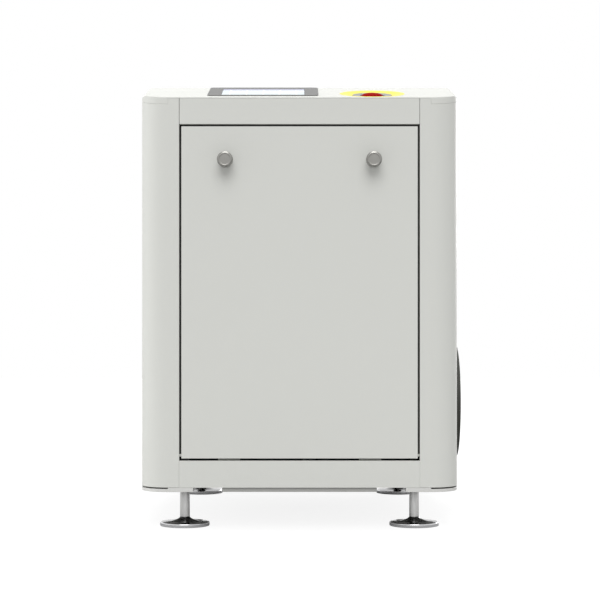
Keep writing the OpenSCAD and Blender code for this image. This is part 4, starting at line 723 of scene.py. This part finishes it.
class AerationFan(bpy.types.Operator):
    """Round the cooling fan's frame, turn its hub and loft its blades"""
    bl_idname = "aeration.cooling_fan"
    bl_label = "Cooling fan"

    def execute(self, context):
        soften(0.9 * MM, "cooling_fan_frame")
        low, high = corner_box("cooling_fan_rotor")
        axis_z = (low[2] + high[2]) / 2
        hub_y0, hub_y1 = REAR_Y - 34.3 * MM, REAR_Y - 6.8 * MM
        shaft_r, hub_r, tip_r = 4 * MM, 44 * MM, 105 * MM
        profile = rounded([(0, low[1]), (shaft_r, low[1]), (shaft_r, hub_y0), (hub_r, hub_y0),
                           (hub_r, hub_y1), (0, hub_y1)], 3 * MM)
        settle(turned("fan_hub", profile, (0, 0, axis_z), (0, 1, 0)), body="cooling_fan_rotor",
               slot="dark_plastic")

        # Each blade is a wing section run out by u from inside the hub to the tip. The section's
        # point at angle s lies c = cos(s) / 2 along the chord, and camber (1 - 4c^2) + thickness
        # sin(s) off it. As u grows the chord grows, the pitch flattens and the blade sweeps forward
        count = context.scene.aeration_sizes.fan_blades
        root_r = hub_r - 2 * MM
        u = np.linspace(0, 1, 15)[None, :, None]
        s = np.linspace(0, 2 * np.pi, 25)[:-1][None, None, :]
        turn = np.arange(count)[:, None, None] * 2 * np.pi / count
        chord = 40 * MM + 12 * MM * u
        pitch = np.radians(40 - 15 * u)
        sweep = np.radians(12) * u
        camber, thickness = chord * 0.07, 1.3 * MM
        c = np.cos(s) / 2
        lift = camber * (1 - 4 * c ** 2) + thickness * np.sin(s)
        around = c * chord * np.cos(pitch) - lift * np.sin(pitch)
        along = c * chord * np.sin(pitch) + lift * np.cos(pitch)
        r = root_r + (tip_r - root_r) * u
        angle = turn + around / r + sweep
        y = (hub_y0 + hub_y1) / 2 + along
        points = np.stack(np.broadcast_arrays(r * np.sin(angle), y, axis_z + r * np.cos(angle)), -1)
        settle(lofted("fan_blades", points, crisp=math.radians(60)), "cooling_fan_rotor")
        return {"FINISHED"}


class AerationRear(bpy.types.Operator):
    """Finish the isolator and the cable glands on the rear panel"""
    bl_idname = "aeration.rear_fittings"
    bl_label = "Rear fittings"

    def execute(self, context):
        edge = context.scene.aeration_sizes.plastic_edge
        soften(edge, "isolator_body", "isolator_handle", "cable_glands")
        return {"FINISHED"}


class AerationBlower(bpy.types.Operator):
    """Finish the blower: casing, nozzle, impeller, shaft and motor"""
    bl_idname = "aeration.blower"
    bl_label = "Blower"

    def execute(self, context):
        edge = context.scene.aeration_sizes.cast_edge
        soften(edge, "volute_casing", "motor_housing", "motor_end_cover", "inlet_nozzle")
        soften(0.3 * MM, "impeller", "rotor_shaft", "stator_core", "stator_windings")
        soften(0.5 * MM, "journal_bearings", "thrust_bearings", "motor_cradle", "rubber_mounts")
        return {"FINISHED"}


class AerationFilter(bpy.types.Operator):
    """Finish the filter box and its cassette"""
    bl_idname = "aeration.filter"
    bl_label = "Filter"

    def execute(self, context):
        soften(0.5 * MM, "filter_box")
        soften(0.0, "filter_cassette")
        return {"FINISHED"}


class AerationElectrics(bpy.types.Operator):
    """Finish the mounting plate, the inverter and the controller"""
    bl_idname = "aeration.electrics"
    bl_label = "Electrics"

    def execute(self, context):
        soften(0.4 * MM, "mounting_plate")
        soften(context.scene.aeration_sizes.plastic_edge, "inverter", "controller")
        return {"FINISHED"}


class AerationFrame(bpy.types.Operator):
    """Finish the frame, the seal, the foam and the latch bushes"""
    bl_idname = "aeration.frame"
    bl_label = "Frame and linings"

    def execute(self, context):
        soften(context.scene.aeration_sizes.cast_edge, "base_frame", "upright_frame")
        soften(0.6 * MM, "panel_seal", "latch_bushes")
        soften(2 * MM, "acoustic_foam", "panel_foam")
        return {"FINISHED"}


def hang(name, data, place, direction):
    """A lamp or camera at a place, looking along a direction."""
    holder = bpy.data.objects.new(name, data)
    holder.location = place
    holder.rotation_euler = direction.to_track_quat("-Z", "Y").to_euler()
    bpy.context.scene.collection.objects.link(holder)
    return holder


class AerationStage(bpy.types.Operator):
    """Lay the floor, hang the lamps and stand the camera"""
    bl_idname = "aeration.stage"
    bl_label = "Stage"

    def execute(self, context):
        self.lay_floor()
        self.light_world(context.scene)
        self.hang_lamps()

        # Metres, and millimetres of lens. The eye is level with the middle of the photograph's
        # frame, and the shift is half a pixel of it
        distance, eye_z, lens, frame_px = 3.3, 0.411, 110.94, 600
        camera = bpy.data.cameras.new("camera")
        camera.sensor_width, camera.lens = 36.0, lens
        camera.shift_x = 0.5 / frame_px
        camera.clip_end = 100.0
        eye = (0, FRONT_Y - distance, eye_z)
        context.scene.camera = hang("camera", camera, eye, Vector((0, 1, 0)))
        context.scene.view_settings.view_transform = "Standard"
        return {"FINISHED"}

    def lay_floor(self):
        """A matt floor that keeps the shadow. To the camera it also glows, a little less near the
        cabinet, so that it meets the white backdrop with no edge."""
        # Metres, the glow's strengths, and its share of what the camera sees
        half, near_r, glow_far, glow_near, cover = 6.0, 2.5, 1.45, 1.2, 0.72
        corners = np.array([[-half, -half, 0], [half, -half, 0], [half, half, 0], [-half, half, 0]])
        floor = shape("stage_floor", corners, [np.array([[0, 1, 2, 3]])])
        material, tree, shader, coords = surface("matt_white_floor", tone("#c4c4c4"), roughness=0.9)
        place = {"Vector": coords, "Scale": (1 / near_r, 1 / near_r, 1 / near_r)}
        local = add(tree, "Mapping", place).outputs[0]
        near = add(tree, "TexGradient", {"Vector": local}, gradient_type="SPHERICAL").outputs["Fac"]
        fall = {0: near, 1: glow_near - glow_far, 2: glow_far}
        strength = add(tree, "Math", fall, operation="MULTIPLY_ADD").outputs[0]
        glow = add(tree, "Emission", {"Color": WHITE, "Strength": strength})
        seen = add(tree, "LightPath").outputs["Is Camera Ray"]
        share = add(tree, "Math", {0: seen, 1: cover}, operation="MULTIPLY").outputs[0]
        mixed = add(tree, "MixShader", {0: share, 1: shader.outputs[0], 2: glow.outputs[0]})
        output = next(n for n in tree.nodes if n.bl_idname == "ShaderNodeOutputMaterial")
        tree.links.new(mixed.outputs[0], output.inputs["Surface"])
        floor.data.materials.append(material)

    def light_world(self, scene):
        """White to the camera, to gloss and through glass, and an even light on the object."""
        ambient_strength = 0.47
        scene.world = bpy.data.worlds.new("studio")
        scene.world.use_nodes = True
        tree = scene.world.node_tree
        tree.nodes.clear()
        path = add(tree, "LightPath").outputs
        white = path["Is Camera Ray"]
        for kind in ("Is Glossy Ray", "Is Transmission Ray"):
            white = add(tree, "Math", {0: white, 1: path[kind]}, operation="MAXIMUM").outputs[0]
        ambient = add(tree, "Background", {"Color": WHITE, "Strength": ambient_strength})
        backdrop = add(tree, "Background", {"Color": WHITE, "Strength": 1.0})
        chosen = add(tree, "MixShader", {0: white, 1: ambient.outputs[0], 2: backdrop.outputs[0]})
        add(tree, "OutputWorld", {"Surface": chosen.outputs[0]})

    def hang_lamps(self):
        """Three square lamps that look at the cabinet's middle, and a wide sun high in front."""
        middle = Vector((0, 0, 0.45))
        # Place and size in metres, watts, and whether gloss mirrors it: the left one would streak
        # the knobs
        lamps = (
            ("left", (-4.6, 0.5, 1.6), 3.0, 92.0, False),
            ("rim", (2.4, 4.0, 1.4), 1.6, 78.0, True),
            ("top", (0.0, 0.4, 4.6), 2.6, 82.0, True),
        )
        for name, place, size, power, mirrored in lamps:
            lamp = bpy.data.lights.new(name, "AREA")
            lamp.shape, lamp.size, lamp.energy = "SQUARE", size, power
            hung = hang(name, lamp, place, middle - Vector(place))
            hung.visible_glossy = mirrored
        key = bpy.data.lights.new("key", "SUN")
        key.energy, key.angle = 1.33, math.radians(42)
        hang("key", key, (0, -4.6, 4.2), Vector((0, 4.6, -3.75)))


STEPS = (AerationFinishes, AerationCabinet, AerationLouvres, AerationKnobs, AerationScreen,
         AerationStop, AerationFeet, AerationDischarge, AerationFan, AerationRear, AerationBlower,
         AerationFilter, AerationElectrics, AerationFrame, AerationStage)


class AerationPanel(bpy.types.Panel):
    """The steps, the sizes and the colours in the 3D view's sidebar"""
    bl_idname = "VIEW3D_PT_aeration"
    bl_label = "Aeration blower"
    bl_space_type = "VIEW_3D"
    bl_region_type = "UI"
    bl_category = "Blower"

    def draw(self, context):
        for group in (context.scene.aeration_sizes, context.scene.aeration_colours):
            for name in group.bl_rna.properties.keys():
                if name not in ("rna_type", "name"):
                    self.layout.prop(group, name)
        for step in STEPS:
            self.layout.operator(step.bl_idname)


CLASSES = (AerationSizes, AerationColours, *STEPS, AerationPanel)


def register():
    for cls in CLASSES:
        bpy.utils.register_class(cls)
    bpy.types.Scene.aeration_sizes = PointerProperty(type=AerationSizes)
    bpy.types.Scene.aeration_colours = PointerProperty(type=AerationColours)


def unregister():
    del bpy.types.Scene.aeration_colours
    del bpy.types.Scene.aeration_sizes
    for cls in reversed(CLASSES):
        bpy.utils.unregister_class(cls)


def main():
    """Runs every step on the loaded frame."""
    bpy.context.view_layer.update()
    register()
    for step in STEPS:
        group, name = step.bl_idname.split(".")
        getattr(getattr(bpy.ops, group), name)()


if __name__ == "__main__":
    main()
